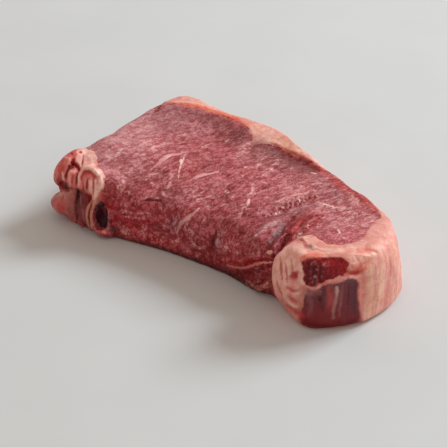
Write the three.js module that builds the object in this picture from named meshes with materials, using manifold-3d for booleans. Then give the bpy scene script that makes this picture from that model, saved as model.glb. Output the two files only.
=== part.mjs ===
// A raw boneless strip steak, lying flat on its lower cut face.
// Millimetres, +Z up. +X runs from the broad end to the tail, where the fat is thick, and +Y towards the
// side with the fat cap. The origin is at the middle of the footprint, on the surface that it lies on.
// The steak is one piece of meat: one closed solid, a rounded slab with its folds joined on and cut in.

import * as THREE from 'three';
import { mergeVertices } from 'three/addons/utils/BufferGeometryUtils.js';
import Module from 'manifold-3d';

// Driving dimensions
const LENGTH = 176;
const WIDTH = 104;
const BODY_HEIGHT = 29.5;
const TAIL_HEIGHT = 37.5;
// The upper rim is well rounded at the front and crisp along the fat cap
const RIM_RADIUS = { front: 10, back: 4.5 };
const FOOT_RADIUS = 5;
// How far the rounded underside of the slab is laid below the surface, before it is trimmed level with it
const SINK = 1.6;

// How finely the slab is divided
const CELLS_ALONG = 58;
const CELLS_ACROSS = 34;
const CELLS_UP = 8;
const LOBE_SEGMENTS = 14;
const LOBE_RINGS = 10;

const COLOUR = new THREE.Color(0.42, 0.1, 0.11);

// The outline seen from above, anticlockwise from the front corner of the broad end. Each entry is x and y
// of the upper rim, and flare, how far the foot of the wall stands outside the rim there.
const OUTLINE = [
  [-85, -50, -4],
  [-67, -47.5, 1],
  [-46, -43.5, 1],
  [-26, -38.5, 1],
  [-6, -36, 0.5],
  [14, -34.5, 0],
  [30, -36, 0],
  [42, -34, 0],
  [51.5, -41.5, -2.5],
  [68, -43, 0.5],
  [80.5, -33.5, -0.6],
  [87.2, -16, 0.2],
  [84, 1, 3],
  [73.6, 12.2, 6.5],
  [57, 20.6, 6],
  [37, 29, 4],
  [16, 38, 3],
  [-5, 46.6, 2],
  [-26, 52.2, 1],
  [-47, 50.6, 0.5],
  [-67, 49, 0.5],
  [-81.5, 44.5, 0.5],
  [-87, 27, 0.5],
  [-87.6, 8, 0.5],
  [-87.4, -11, 0.5],
  [-87.5, -30, -2],
];
// The entries where the four sides of the outline meet
const CORNERS = { frontBroad: 0, frontTail: 9, backTail: 13, backBroad: 21 };

// Where the top stands higher or lower than the slab
// The tail stands up steeply behind the fold at the front, and gently along the fat cap at the back
const TAIL_FRONT = { start: 42, end: 57, height: TAIL_HEIGHT - BODY_HEIGHT };
const TAIL_BACK = { start: 5, end: 75, height: 4.4 };
const TAIL_TURN = { start: -32, end: 6 };
const FRONT_SLUMP = { start: -18, end: -40, depth: 2.6 };
const BROAD_RISE = { start: -45, end: -80, height: 2.3 };
const PAD_RISE = { x: -78, y: -36, radius: 18, height: 1.4 };

// Furrows in the top: the points that one runs through, its depth there, and half its width
const FURROWS = {
  'head of the deep fold': { path: [[41, -28], [37, -14], [35, -2]], depths: [2, 2.8, 0], half: 5 },
  'torn band': { path: [[21, -27], [25, -12], [28, 2], [31, 12]], depths: [0, 2, 2.2, 0], half: 4 },
  'beaded band': { path: [[48, -24], [50, -8], [53, 5]], depths: [1.6, 1.8, 0], half: 3.6 },
  'along the fat cap': { path: [[-20, 36], [-8, 35], [8, 33], [24, 28]], depths: [0, 2, 2, 0], half: 4.5 },
  'seam in the eye': { path: [[-27, 38], [-23, 22], [-30, 6]], depths: [1.4, 0.8, 0], half: 3.6 },
};

// Rounded lobes of fat and trimmed muscle, joined to the slab: middle, half sizes and turn in degrees
const LOBES = {
  'knob at the corner': { at: [-79.5, -44.5, 9.4], half: [11.4, 9, 6.4], turn: [0, -18, 6] },
  'thick end of the knob': { at: [-74.6, -44, 12], half: [5.4, 8.6, 8.2], turn: [0, -14, 0] },
  'left lobe of the pad': { at: [-83.6, -38.4, 23.6], half: [5.6, 12.4, 10.4], turn: [4, 4, 0] },
  'back lobe of the pad': { at: [-79.5, -27, 26], half: [8, 10, 6.8], turn: [0, 0, 14] },
  'middle lobe of the pad': { at: [-71.4, -41, 25], half: [4.4, 9.8, 6.6], turn: [0, 8, 4] },
  'curl of the pad': { at: [-62, -41.4, 27], half: [6.4, 9.4, 6.6], turn: [-8, -10, -4] },
  'band of fat': { at: [-56, -39.4, 24], half: [4.2, 8.2, 8], turn: [0, 14, -6] },
  'hanging strip': { at: [-58.6, -43.2, 11], half: [2.6, 7.2, 12], turn: [0, 10, 0] },
  'strip behind it': { at: [-64.4, -44, 10.5], half: [3.2, 6.8, 11], turn: [0, 6, 0] },
  'bead at the foot': { at: [-53, -44.6, 3.4], half: [3.2, 5.4, 3.8], turn: [0, 0, 0] },
  'lip of the front wall': { at: [29, -33, 14.6], half: [14, 4.6, 3.2], turn: [0, -24, 1] },
  'flap at the notch': { at: [40.4, -31, 8], half: [4.6, 4.8, 8], turn: [0, 20, 0] },
  'fat round the tail': { at: [55, -36, 20], half: [9.4, 8.4, 17], turn: [0, 0, 18] },
};

// Hollows between the folds, cut out of the slab
const HOLLOWS = {
  'behind the left lobe': { at: [-78.8, -53, 20.6], half: [3.4, 6.4, 5.4], turn: [0, 16, 0] },
  'between the lobes': { at: [-76.6, -50, 30], half: [2.4, 8, 5], turn: [0, 16, 0] },
  'beside the knob': { at: [-69.4, -53.5, 13], half: [1.9, 7, 8.5], turn: [0, 3, 0] },
  'beside the strip': { at: [-54.8, -50, 11.4], half: [3.3, 6.4, 6.4], turn: [0, 8, 0] },
  'under the lip': { at: [30, -41, 7], half: [12, 6.4, 5], turn: [0, -22, -4] },
  'deep fold': { at: [42.6, -32, 34], half: [2.4, 17, 15], turn: [-14, 0, 17] },
  'notch beside the tail': { at: [46, -43, 14], half: [2.6, 9, 17], turn: [0, 0, -6] },
};

const clamp01 = (v) => THREE.MathUtils.clamp(v, 0, 1);
// 0 before a, 1 past b, and a smooth ramp between, whichever of the two is larger
const smooth = (a, b, v) => {
  const k = clamp01((v - a) / (b - a));
  return k * k * (3 - 2 * k);
};

// The closed curve through the outline, with share 0 at the rim and 1 at the foot of the wall
function outlineCurve(share) {
  const middle = (i) => OUTLINE[(i + OUTLINE.length) % OUTLINE.length];
  const points = OUTLINE.map(([x, y, flare], i) => {
    const before = middle(i - 1);
    const after = middle(i + 1);
    const along = new THREE.Vector2(after[0] - before[0], after[1] - before[1]).normalize();
    return new THREE.Vector3(x + along.y * flare * share, y - along.x * flare * share, 0);
  });
  return new THREE.CatmullRomCurve3(points, true, 'centripetal');
}

// A point inside the closed curve, blended from its four sides: s runs along the steak and t across it
function inside(curve, s, t) {
  const count = OUTLINE.length;
  const { frontBroad, frontTail, backTail, backBroad } = CORNERS;
  const side = (from, to, k) => curve.getPoint(((from + (to - from) * k) / count + 1) % 1);
  const front = side(frontBroad, frontTail, s);
  const back = side(backBroad, backTail, s);
  const broad = side(frontBroad + count, backBroad, t);
  const tail = side(frontTail, backTail, t);
  const corner = (index) => side(index, index, 0);
  return new THREE.Vector3()
    .addScaledVector(front, 1 - t)
    .addScaledVector(back, t)
    .addScaledVector(broad, 1 - s)
    .addScaledVector(tail, s)
    .addScaledVector(corner(frontBroad), -(1 - s) * (1 - t))
    .addScaledVector(corner(frontTail), -s * (1 - t))
    .addScaledVector(corner(backBroad), -(1 - s) * t)
    .addScaledVector(corner(backTail), -s * t);
}

// How deep a furrow is at a point of the top
function furrowDepth({ path, depths, half }, x, y) {
  let depth = 0;
  for (let i = 0; i + 1 < path.length; i += 1) {
    const [ax, ay] = path[i];
    const [bx, by] = path[i + 1];
    const k = clamp01(((x - ax) * (bx - ax) + (y - ay) * (by - ay)) / ((bx - ax) ** 2 + (by - ay) ** 2));
    const away = Math.hypot(x - ax - (bx - ax) * k, y - ay - (by - ay) * k);
    const here = depths[i] + (depths[i + 1] - depths[i]) * k;
    depth = Math.max(depth, here * Math.exp(-((away / half) ** 2)));
  }
  return depth;
}

// Soft lumps of flesh, the sum of a few waves in different directions: [along x, y, z, phase, height]
const WAVES = [
  [0.081, 0.037, 0.02, 0.7, 0.5],
  [-0.049, 0.113, -0.06, 2.1, 0.42],
  [0.152, 0.127, 0.14, 4.4, 0.24],
  [0.236, -0.094, 0.11, 1.2, 0.2],
  [0.071, 0.298, -0.18, 5.3, 0.14],
];
const lumps = (x, y, z) => WAVES.reduce((sum, [kx, ky, kz, phase, height]) => {
  return sum + height * Math.sin(kx * x + ky * y + kz * z + phase);
}, 0);

// Height of the top over a point of the footprint
function topHeight(x, y) {
  const ramp = ({ start, end }, v) => smooth(start, end, v);
  const front = TAIL_FRONT.height * ramp(TAIL_FRONT, x);
  const back = TAIL_BACK.height * ramp(TAIL_BACK, x);
  const rise = THREE.MathUtils.lerp(front, back, ramp(TAIL_TURN, y));
  const slump = FRONT_SLUMP.depth * ramp(FRONT_SLUMP, y) * (1 - smooth(30, 48, x));
  const broad = BROAD_RISE.height * ramp(BROAD_RISE, x);
  const fromPad = Math.hypot(x - PAD_RISE.x, y - PAD_RISE.y);
  const pad = PAD_RISE.height * Math.exp(-((fromPad / PAD_RISE.radius) ** 2));
  const furrows = Object.values(FURROWS).reduce((sum, furrow) => sum + furrowDepth(furrow, x, y), 0);
  return BODY_HEIGHT + rise - slump + broad + pad - furrows;
}

// The slab: a box whose edges are rounded and whose grid is then laid into the outline and lifted to the top
function slab() {
  const half = new THREE.Vector3(LENGTH / 2, WIDTH / 2, BODY_HEIGHT / 2);
  const geometry = new THREE.BoxGeometry(LENGTH, WIDTH, BODY_HEIGHT, CELLS_ALONG, CELLS_ACROSS, CELLS_UP);
  const rim = outlineCurve(0);
  const foot = outlineCurve(1);
  const position = geometry.attributes.position;
  const p = new THREE.Vector3();
  const core = new THREE.Vector3();
  for (let i = 0; i < position.count; i += 1) {
    p.fromBufferAttribute(position, i);
    const rimRadius = THREE.MathUtils.lerp(RIM_RADIUS.front, RIM_RADIUS.back, p.y / WIDTH + 0.5);
    const radius = THREE.MathUtils.lerp(FOOT_RADIUS, rimRadius, clamp01(p.z / half.z / 2 + 0.5));
    core.set(
      THREE.MathUtils.clamp(p.x, radius - half.x, half.x - radius),
      THREE.MathUtils.clamp(p.y, radius - half.y, half.y - radius),
      THREE.MathUtils.clamp(p.z, radius - half.z, half.z - radius),
    );
    const out = p.clone().sub(core);
    if (out.lengthSq() > 0) p.copy(core).addScaledVector(out.normalize(), radius);
    const s = p.x / LENGTH + 0.5;
    const t = p.y / WIDTH + 0.5;
    const level = p.z / BODY_HEIGHT + 0.5;
    const place = inside(rim, s, t).lerp(inside(foot, s, t), 1 - level);
    const top = topHeight(place.x, place.y);
    const wave = lumps(place.x, place.y, top * level);
    const wall = smooth(0.86, 1, Math.max(Math.abs(2 * s - 1), Math.abs(2 * t - 1)));
    const away = new THREE.Vector2(place.x / half.x, place.y / half.y).normalize();
    position.setXYZ(
      i,
      place.x + away.x * wave * wall * Math.sin(Math.PI * level),
      place.y + away.y * wave * wall * Math.sin(Math.PI * level),
      level * (top + SINK + wave * smooth(0.5, 1, level)) - SINK,
    );
  }
  return geometry;
}

// A lobe or a hollow: a sphere drawn out to its half sizes, turned, and made a little uneven
function lobe({ at, half, turn }) {
  const geometry = new THREE.SphereGeometry(1, LOBE_SEGMENTS, LOBE_RINGS);
  geometry.scale(...half);
  const position = geometry.attributes.position;
  const p = new THREE.Vector3();
  for (let i = 0; i < position.count; i += 1) {
    p.fromBufferAttribute(position, i);
    p.multiplyScalar(1 + 0.1 * Math.sin(p.x / 2.9 + at[0]) * Math.cos(p.z / 3.3 + p.y / 5 + at[2]));
    position.setXYZ(i, p.x, p.y, p.z);
  }
  const [tx, ty, tz] = turn.map(THREE.MathUtils.degToRad);
  geometry.applyMatrix4(new THREE.Matrix4().makeRotationFromEuler(new THREE.Euler(tx, ty, tz)));
  geometry.translate(...at);
  return geometry;
}

const wasm = await Module();
wasm.setup();

// A closed three.js geometry as a solid, with its shared vertices merged
function solidOf(geometry) {
  const bare = geometry.clone();
  bare.deleteAttribute('normal');
  bare.deleteAttribute('uv');
  const merged = mergeVertices(bare, 1e-3);
  return new wasm.Manifold(
    new wasm.Mesh({
      numProp: 3,
      vertProperties: new Float32Array(merged.attributes.position.array),
      triVerts: new Uint32Array(merged.index.array),
    }),
  );
}

// A solid back as a three.js geometry, with its footprint's middle at the origin
function geometryOf(solid) {
  const mesh = solid.getMesh();
  const geometry = new THREE.BufferGeometry();
  geometry.setAttribute('position', new THREE.BufferAttribute(new Float32Array(mesh.vertProperties), 3));
  geometry.setIndex(new THREE.BufferAttribute(new Uint32Array(mesh.triVerts), 1));
  geometry.computeBoundingBox();
  const { min, max } = geometry.boundingBox;
  geometry.translate(-(min.x + max.x) / 2, -(min.y + max.y) / 2, -min.z);
  geometry.computeVertexNormals();
  return geometry;
}

// Everything below the surface that the steak lies on is cut off level
function floorCutter() {
  const depth = 40;
  const cutter = new THREE.BoxGeometry(LENGTH * 2, WIDTH * 2, depth);
  cutter.translate(0, 0, -depth / 2);
  return cutter;
}

let steakSolid = solidOf(slab());
for (const hollow of Object.values(HOLLOWS)) steakSolid = steakSolid.subtract(solidOf(lobe(hollow)));
for (const piece of Object.values(LOBES)) steakSolid = steakSolid.add(solidOf(lobe(piece)));
steakSolid = steakSolid.subtract(solidOf(floorCutter()));

const steak = new THREE.Mesh(
  geometryOf(steakSolid),
  new THREE.MeshStandardMaterial({ color: COLOUR, roughness: 0.42, metalness: 0 }),
);
steak.name = 'steak';

const model = new THREE.Group();
model.add(steak);

export default model;
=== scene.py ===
"""The looks of a raw strip steak that lies on a pale floor in soft studio light.

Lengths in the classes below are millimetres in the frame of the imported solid: +X runs from the broad end to
the tail, +Y towards the fat cap and +Z up. They become metres where a mesh is made.
"""

import logging
import math
from dataclasses import dataclass, field
from enum import Enum
from functools import partial

import bpy
import numpy as np
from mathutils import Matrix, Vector

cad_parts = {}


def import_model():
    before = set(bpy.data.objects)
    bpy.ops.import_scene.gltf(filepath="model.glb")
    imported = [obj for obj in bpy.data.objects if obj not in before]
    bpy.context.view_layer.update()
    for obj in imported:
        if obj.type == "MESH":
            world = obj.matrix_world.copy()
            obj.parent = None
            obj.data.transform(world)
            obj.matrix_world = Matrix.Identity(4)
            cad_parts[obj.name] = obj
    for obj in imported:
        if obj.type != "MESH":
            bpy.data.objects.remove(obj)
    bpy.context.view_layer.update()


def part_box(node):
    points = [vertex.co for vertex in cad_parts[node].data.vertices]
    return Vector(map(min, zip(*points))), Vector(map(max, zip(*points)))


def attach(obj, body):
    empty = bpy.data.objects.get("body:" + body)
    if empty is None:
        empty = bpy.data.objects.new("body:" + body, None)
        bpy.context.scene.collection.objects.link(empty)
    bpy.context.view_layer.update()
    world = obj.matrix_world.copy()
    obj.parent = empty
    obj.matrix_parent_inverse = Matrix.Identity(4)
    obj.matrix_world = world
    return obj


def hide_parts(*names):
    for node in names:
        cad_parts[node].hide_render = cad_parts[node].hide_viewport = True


MM = 0.001
VIEW_AZIMUTH = math.radians(40)
VIEW_ELEVATION = math.radians(33)
log = logging.getLogger("steak")
Triple = tuple[float, float, float]
Path = tuple[tuple[float, float], ...]


def view_axes(azimuth: float, elevation: float) -> tuple[Triple, Triple, Triple]:
    """The directions of a view that looks down on the steak from its front.

    Args:
        azimuth: How far the viewer stands round from the front, in radians.
        elevation: How far above the floor, in radians.

    Returns:
        The directions to the right, up and back to the viewer.
    """
    sin_a, cos_a = math.sin(azimuth), math.cos(azimuth)
    sin_e, cos_e = math.sin(elevation), math.cos(elevation)
    right, up = (cos_a, sin_a, 0.0), (-sin_e * sin_a, sin_e * cos_a, cos_e)
    return right, up, (sin_a * cos_e, -cos_a * cos_e, sin_e)


def smooth_step(low: float, high: float, value: np.ndarray) -> np.ndarray:
    """A ramp from 0 at low to 1 at high with soft ends.

    Args:
        low: The value where the ramp is 0.
        high: The value where it is 1. It may be the smaller of the two.
        value: Where the ramp is read.

    Returns:
        The ramp, one number for each value.
    """
    share = np.clip((value - low) / (high - low), 0.0, 1.0)
    return share * share * (3.0 - 2.0 * share)


def hill(points: np.ndarray, middle: tuple[float, float], half: tuple[float, float]) -> np.ndarray:
    """A smooth hill of height 1 in plan.

    Args:
        points: Rows of x, y and z.
        middle: Where it is highest.
        half: How far it spreads along x and y.

    Returns:
        The height at each point.
    """
    return np.exp(-(((points[:, :2] - np.array(middle)) / np.array(half)) ** 2).sum(axis=1))


def grain_path(at: np.ndarray, turn: float, reach: float, bend: np.ndarray) -> Path:
    """A short bent path of three points.

    Args:
        at: Its middle.
        turn: Its direction, in radians.
        reach: Half its length.
        bend: How far its middle is shifted.

    Returns:
        The path.
    """
    arm = reach * np.array([math.cos(turn), math.sin(turn)])
    return tuple(at - arm), tuple(at + bend), tuple(at + arm)


class Waves:
    """Seeded random waves in space, the same on every run."""

    SIDE = 32

    def __init__(self, seed: int) -> None:
        """Draws the lattice.

        Args:
            seed: The seed of the draw.
        """
        self.lattice = np.random.default_rng(seed).uniform(-1.0, 1.0, (self.SIDE,) * 3)

    def at(self, points: np.ndarray, size: Triple) -> np.ndarray:
        """The height of the waves at some points.

        Args:
            points: Rows of x, y and z in millimetres.
            size: The length of a wave along each axis, in millimetres.

        Returns:
            One number from about -1 to 1 for each point.
        """
        place = points / np.array(size)
        cell = np.floor(place).astype(int)
        part = place - cell
        part = part * part * (3.0 - 2.0 * part)
        height = np.zeros(len(points))
        for corner in np.ndindex(2, 2, 2):
            at = (cell + corner) % self.SIDE
            weight = np.prod(np.where(corner, part, 1.0 - part), axis=1)
            height += weight * self.lattice[at[:, 0], at[:, 1], at[:, 2]]
        return height

    def rough(self, points: np.ndarray, size: Triple, octaves: int) -> np.ndarray:
        """The waves with finer ones on top, each layer half as long and half as high.

        Args:
            points: Rows of x, y and z in millimetres.
            size: The length of the longest wave along each axis, in millimetres.
            octaves: How many layers there are.

        Returns:
            One number from about -2 to 2 for each point.
        """
        scale = np.array(size)
        return np.sum([self.at(points + 7.3 * k, scale / 2**k) / 2**k for k in range(octaves)], axis=0)


class Side(Enum):
    """A side that marks are drawn on: the two directions across it, and the way that it faces.

    SLANT faces the way that the folds of the corner and of the tail are seen best, from above the front.
    """

    TOP = ((1.0, 0.0, 0.0), (0.0, 1.0, 0.0), (0.0, 0.0, 1.0))
    FRONT = ((1.0, 0.0, 0.0), (0.0, 0.0, 1.0), (0.0, -1.0, 0.0))
    BACK = ((-1.0, 0.0, 0.0), (0.0, 0.0, 1.0), (0.0, 1.0, 0.0))
    TAIL = ((0.0, 1.0, 0.0), (0.0, 0.0, 1.0), (1.0, 0.0, 0.0))
    SLANT = view_axes(VIEW_AZIMUTH, VIEW_ELEVATION)


class Paint(Enum):
    """What is on the surface: its linear colour, whether it is fat or smooth skin, and how wet it is. Some
    paints are painted light: SHADOW is painted shade, GLINT a painted highlight, and the grey and dusty lean
    are partly painted sheen.
    """

    LEAN = ((0.45, 0.088, 0.1), False, 0.3)
    BRIGHT_LEAN = ((0.65, 0.18, 0.19), False, 0.3)
    # Pale greyish lean: partly its own colour, partly painted sheen of wet patches.
    DUSTY_LEAN = ((0.63, 0.275, 0.285), False, 0.25)
    DEEP_LEAN = ((0.24, 0.017, 0.024), False, 0.5)
    BROWN_LEAN = ((0.2, 0.05, 0.052), False, 0.2)
    # Grey lean: mostly painted sheen of flat wet patches, partly pale grey tissue.
    GREY_LEAN = ((0.4, 0.175, 0.185), False, 0.05)
    WALL_LEAN = ((0.52, 0.06, 0.07), False, 0.3)
    ROSE = ((0.58, 0.09, 0.09), False, 0.6)
    DEW = ((0.62, 0.13, 0.12), False, 1.0)
    CRIMSON = ((0.44, 0.015, 0.022), False, 0.6)
    # Dark red of blood films; in hollows and at the foot of the walls it also serves as painted shade.
    BLOOD = ((0.25, 0.004, 0.008), False, 0.35)
    # Painted highlight: pale spots that stand for glints of wet fibre.
    GLINT = ((0.95, 0.7, 0.66), False, 1.0)
    # Painted shade: near black, for slits, hollows, gaps between folds and the foot of the walls.
    SHADOW = ((0.04, 0.002, 0.003), False, 0.0)
    FAT = ((0.83, 0.36, 0.295), True, 0.3)
    PALE_FAT = ((0.92, 0.49, 0.42), True, 0.3)
    WHITE_FAT = ((0.93, 0.6, 0.53), True, 0.35)
    CREAM_FAT = ((0.86, 0.46, 0.33), True, 0.3)
    PINK_FAT = ((0.74, 0.2, 0.18), True, 0.4)
    TAN_FAT = ((0.6, 0.23, 0.17), True, 0.3)
    ORANGE_FAT = ((0.82, 0.17, 0.11), True, 0.35)
    RED_FAT = ((0.5, 0.045, 0.04), True, 0.45)
    MARBLING = ((0.86, 0.42, 0.41), True, 0.35)
    GRISTLE = ((0.46, 0.11, 0.09), True, 0.3)
    SILVERSKIN = ((0.17, 0.034, 0.045), True, 0.7)
    PALE_SKIN = ((0.42, 0.16, 0.165), True, 0.65)
    MAUVE = ((0.25, 0.045, 0.055), True, 0.45)
    # Dark plum of membrane; in the oval cavity of the corner it also serves as painted shade.
    PLUM = ((0.065, 0.011, 0.02), True, 0.4)


@dataclass(frozen=True)
class Skin:
    """The points of the steak's surface as rows, in millimetres, with their normals."""

    points: np.ndarray
    normals: np.ndarray

    def facing(self, side: Side) -> np.ndarray:
        """How much each point faces a side, from 0 to 1. Only the end of the tail counts as facing TAIL."""
        low = 0.1 if side is Side.SLANT else 0.35
        facing = smooth_step(low, low + 0.3, self.normals @ np.array(side.value[2]))
        return facing * smooth_step(58.0, 64.0, self.points[:, 0]) if side is Side.TAIL else facing

    def sheet(self, side: Side) -> np.ndarray:
        """The two coordinates of each point across a side."""
        return self.points @ np.array(side.value[:2]).T


@dataclass(frozen=True)
class Mark:
    """Something that is cut in, raised or painted on one side of the steak.

    Attributes:
        side: The side that it is drawn on.
        lift: How far it stands up, or is cut in below 0.
        paint: What it is made of, or None where it only changes the shape.
        strength: How much of the paint covers what is below.
        soft: How wide the painted border fades, as a share of the mark's girth.
        fat_only: Whether it leaves the lean as it is.
    """

    side: Side
    lift: float = field(default=0.0, kw_only=True)
    paint: Paint | None = field(default=None, kw_only=True)
    strength: float = field(default=1.0, kw_only=True)
    soft: float = field(default=0.3, kw_only=True)
    fat_only: bool = field(default=False, kw_only=True)

    @property
    def girth(self) -> float:
        """Half the width of the mark, over which it rises or sinks."""
        raise NotImplementedError

    def inside(self, skin: Skin, stray: np.ndarray) -> np.ndarray:
        """How far each point lies inside the mark.

        Args:
            skin: The points.
            stray: How far the sheet is shifted at each point, as rows of two.

        Returns:
            Millimetres, above 0 inside the mark and below 0 outside it.
        """
        raise NotImplementedError

    def rise(self, skin: Skin) -> np.ndarray:
        """How far the mark lifts each point of the surface."""
        still = np.zeros((len(skin.points), 2))
        reach = np.maximum(1.0 - self.inside(skin, still) / self.girth, 0.0)
        return self.lift * np.exp(-1.4 * reach**2) * skin.facing(self.side)


@dataclass(frozen=True)
class Line(Mark):
    """A smooth line that thins towards its ends.

    Attributes:
        path: The points that it runs through.
        width: Half its width.
    """

    path: Path
    width: float

    STEPS = 4

    @property
    def girth(self) -> float:
        """Half the width of the line."""
        return self.width

    def curve(self) -> np.ndarray:
        """The points of the line after rounding its corners."""
        knots = np.array(self.path, float)
        if len(knots) < 3:
            return knots
        ends = np.vstack([2 * knots[0] - knots[1], knots, 2 * knots[-1] - knots[-2]])
        rows = []
        for a, b, c, d in zip(ends, ends[1:], ends[2:], ends[3:]):
            for t in np.arange(self.STEPS) / self.STEPS:
                bend = 2 * a - 5 * b + 4 * c - d
                rows.append(0.5 * (2 * b + (c - a) * t + bend * t**2 + (3 * b - a - 3 * c + d) * t**3))
        return np.vstack([rows, knots[-1]])

    def inside(self, skin: Skin, stray: np.ndarray) -> np.ndarray:
        """How far each point lies inside the line, in millimetres."""
        sheet = skin.sheet(self.side) + stray
        curve = self.curve()
        room = 4.0 * self.width + 2.0
        near = np.all((sheet > curve.min(axis=0) - room) & (sheet < curve.max(axis=0) + room), axis=1)
        near = np.flatnonzero(near & (skin.facing(self.side) > 0))
        best = np.full(len(sheet), -99.0)
        count = len(curve) - 1
        for index, (a, b) in enumerate(zip(curve, curve[1:])):
            along = b - a
            share = np.clip((sheet[near] - a) @ along / max(along @ along, 1e-9), 0.0, 1.0)
            away = np.linalg.norm(sheet[near] - a - share[:, None] * along, axis=1)
            thin = 0.3 + 0.7 * np.sin(np.pi * np.clip((index + share) / count, 0.05, 0.95)) ** 0.6
            best[near] = np.maximum(best[near], self.width * thin - away)
        return best


@dataclass(frozen=True)
class Patch(Mark):
    """An oval.

    Attributes:
        at: Its middle.
        half: Its two half sizes.
        turn: How far it is turned, in degrees.
    """

    at: tuple[float, float]
    half: tuple[float, float]
    turn: float = 0.0

    @property
    def girth(self) -> float:
        """The smaller half size."""
        return min(self.half)

    def inside(self, skin: Skin, stray: np.ndarray) -> np.ndarray:
        """How far each point lies inside the oval, in millimetres along its smaller half size."""
        turn = math.radians(self.turn)
        cos, sin = math.cos(turn), math.sin(turn)
        sheet = (skin.sheet(self.side) + stray - np.array(self.at)) @ np.array([[cos, -sin], [sin, cos]])
        return self.girth * (1.0 - np.linalg.norm(sheet / np.array(self.half), axis=1))


@dataclass(frozen=True)
class Area(Mark):
    """A shape with a free outline.

    Attributes:
        outline: Its corners in order.
        slope: How wide its border rises or sinks.
    """

    outline: Path
    slope: float = 1.2

    @property
    def girth(self) -> float:
        """The width of the slope at the border."""
        return self.slope

    def inside(self, skin: Skin, stray: np.ndarray) -> np.ndarray:
        """How far each point lies inside the outline, in millimetres."""
        return inside_outline(skin.sheet(self.side) + stray, self.outline)


def inside_outline(sheet: np.ndarray, corners: Path) -> np.ndarray:
    """How far points lie inside a closed outline.

    Args:
        sheet: Rows of two coordinates.
        corners: The outline's corners in order.

    Returns:
        Millimetres, above 0 inside the outline and below 0 outside it.
    """
    outline = np.array(corners, float)
    best = np.full(len(sheet), 1e9)
    inside = np.zeros(len(sheet), bool)
    for a, b in zip(outline, np.roll(outline, -1, axis=0)):
        along = b - a
        share = np.clip((sheet - a) @ along / (along @ along), 0.0, 1.0)
        best = np.minimum(best, np.linalg.norm(sheet - a - share[:, None] * along, axis=1))
        crosses = (a[1] > sheet[:, 1]) != (b[1] > sheet[:, 1])
        rise = along[1] if abs(along[1]) > 1e-9 else 1e-9
        inside ^= crosses & (sheet[:, 0] < a[0] + (sheet[:, 1] - a[1]) * along[0] / rise)
    return np.where(inside, best, -best)


@dataclass(frozen=True)
class Fold:
    """A roll of fat or flesh, drawn as a tube along a path.

    Attributes:
        path: The points that its middle runs through.
        radii: Its radius at each of them.
    """

    path: tuple[Triple, ...]
    radii: tuple[float, ...]

    def build(self) -> bpy.types.Object:
        """Draws the fold as a bevelled curve and makes it a closed mesh."""
        bpy.ops.object.select_all(action="DESELECT")
        bpy.ops.curve.primitive_nurbs_path_add(location=(0.0, 0.0, 0.0))
        curve = bpy.context.object.data
        curve.splines.clear()
        spline = curve.splines.new("NURBS")
        spline.points.add(len(self.path) - 1)
        for point, place, radius in zip(spline.points, self.path, self.radii):
            point.co = (*(MM * c for c in place), 1.0)
            point.radius = radius
        spline.order_u = min(4, len(self.path))
        spline.use_endpoint_u = True
        spline.resolution_u = 8
        curve.bevel_depth = MM
        curve.bevel_resolution = 4
        curve.use_fill_caps = True
        bpy.ops.object.convert(target="MESH")
        return bpy.context.object


@dataclass
class CornerFolds:
    """The rolls of fat and trimmed muscle at the front corner of the broad end."""

    left_lobe: Fold = Fold(((-82, -46, 15), (-81.8, -46.4, 22.5), (-81.8, -43.5, 28), (-82, -37, 30.3),
                            (-80.5, -30, 30.5)), (1.5, 3.4, 3.6, 3.0, 1.2))
    lobe_ridge: Fold = Fold(((-80.4, -40.5, 32), (-79.4, -45.3, 29.8), (-78.6, -48.3, 26.2)),
                            (0.8, 1.2, 0.7))
    middle_lobe: Fold = Fold(((-73.6, -47.2, 18.5), (-73, -49, 22.5), (-74, -47.5, 27), (-76, -43, 29.5)),
                             (1.2, 2.7, 2.6, 1.2))
    curl: Fold = Fold(((-67, -47.5, 21.5), (-66.6, -48.8, 28), (-67.2, -44.8, 32), (-62.6, -43.4, 33.6),
                       (-58.4, -44.6, 31.6), (-58.3, -48, 27.8), (-58.8, -48.6, 23.5)),
                      (1.2, 1.9, 1.9, 1.9, 1.8, 1.7, 0.9))
    curl_core: Fold = Fold(((-62.6, -47.5, 21.5), (-62.2, -48.8, 25.5), (-62.4, -46.5, 29.5)),
                           (1.4, 2.2, 1.5))
    band: Fold = Fold(((-62, -41, 32), (-58, -43, 31.5), (-55.4, -45.3, 30), (-55.8, -47.4, 26),
                       (-57, -48.4, 22), (-58.6, -48.6, 18)), (1.3, 1.9, 2.2, 2.1, 1.9, 1.0))
    strips: tuple[Fold, ...] = (
        Fold(((-57.5, -49.2, 21), (-59.2, -51, 17.8), (-60.4, -51.5, 12), (-60, -51.2, 7), (-58.5, -50, 3)),
             (0.8, 1.1, 1.2, 1.1, 0.7)),
        Fold(((-55.5, -48.8, 22), (-56.8, -50, 18.4), (-57.9, -50.4, 12), (-57.6, -50.2, 6.5),
              (-55.8, -49.4, 3)), (0.8, 1.0, 1.1, 1.1, 0.7)),
        Fold(((-50.9, -45.6, 15.5), (-50.2, -46.8, 10.6), (-50.6, -46.8, 5.5)), (0.6, 0.9, 0.6)),
        Fold(((-67.6, -47.6, 19), (-67.4, -50, 12), (-66.6, -50.4, 6), (-65, -49.6, 2)),
             (0.8, 1.5, 1.7, 1.0)),
    )
    bead: Fold = Fold(((-55.5, -48.4, 2.6), (-53, -49, 3.6), (-50.4, -47.5, 3.2)), (1.5, 2.2, 1.2))
    knob: Fold = Fold(((-88.6, -46.5, 5.2), (-84.4, -47, 6.8), (-79, -47.4, 9), (-73.2, -47.4, 11.5)),
                      (1.4, 3.4, 5.6, 6.0))

    def build(self) -> list[bpy.types.Object]:
        """Draws every roll of the corner."""
        folds = (self.left_lobe, self.lobe_ridge, self.middle_lobe, self.curl, self.curl_core, self.band,
                 *self.strips, self.bead, self.knob)
        return [fold.build() for fold in folds]


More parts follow.
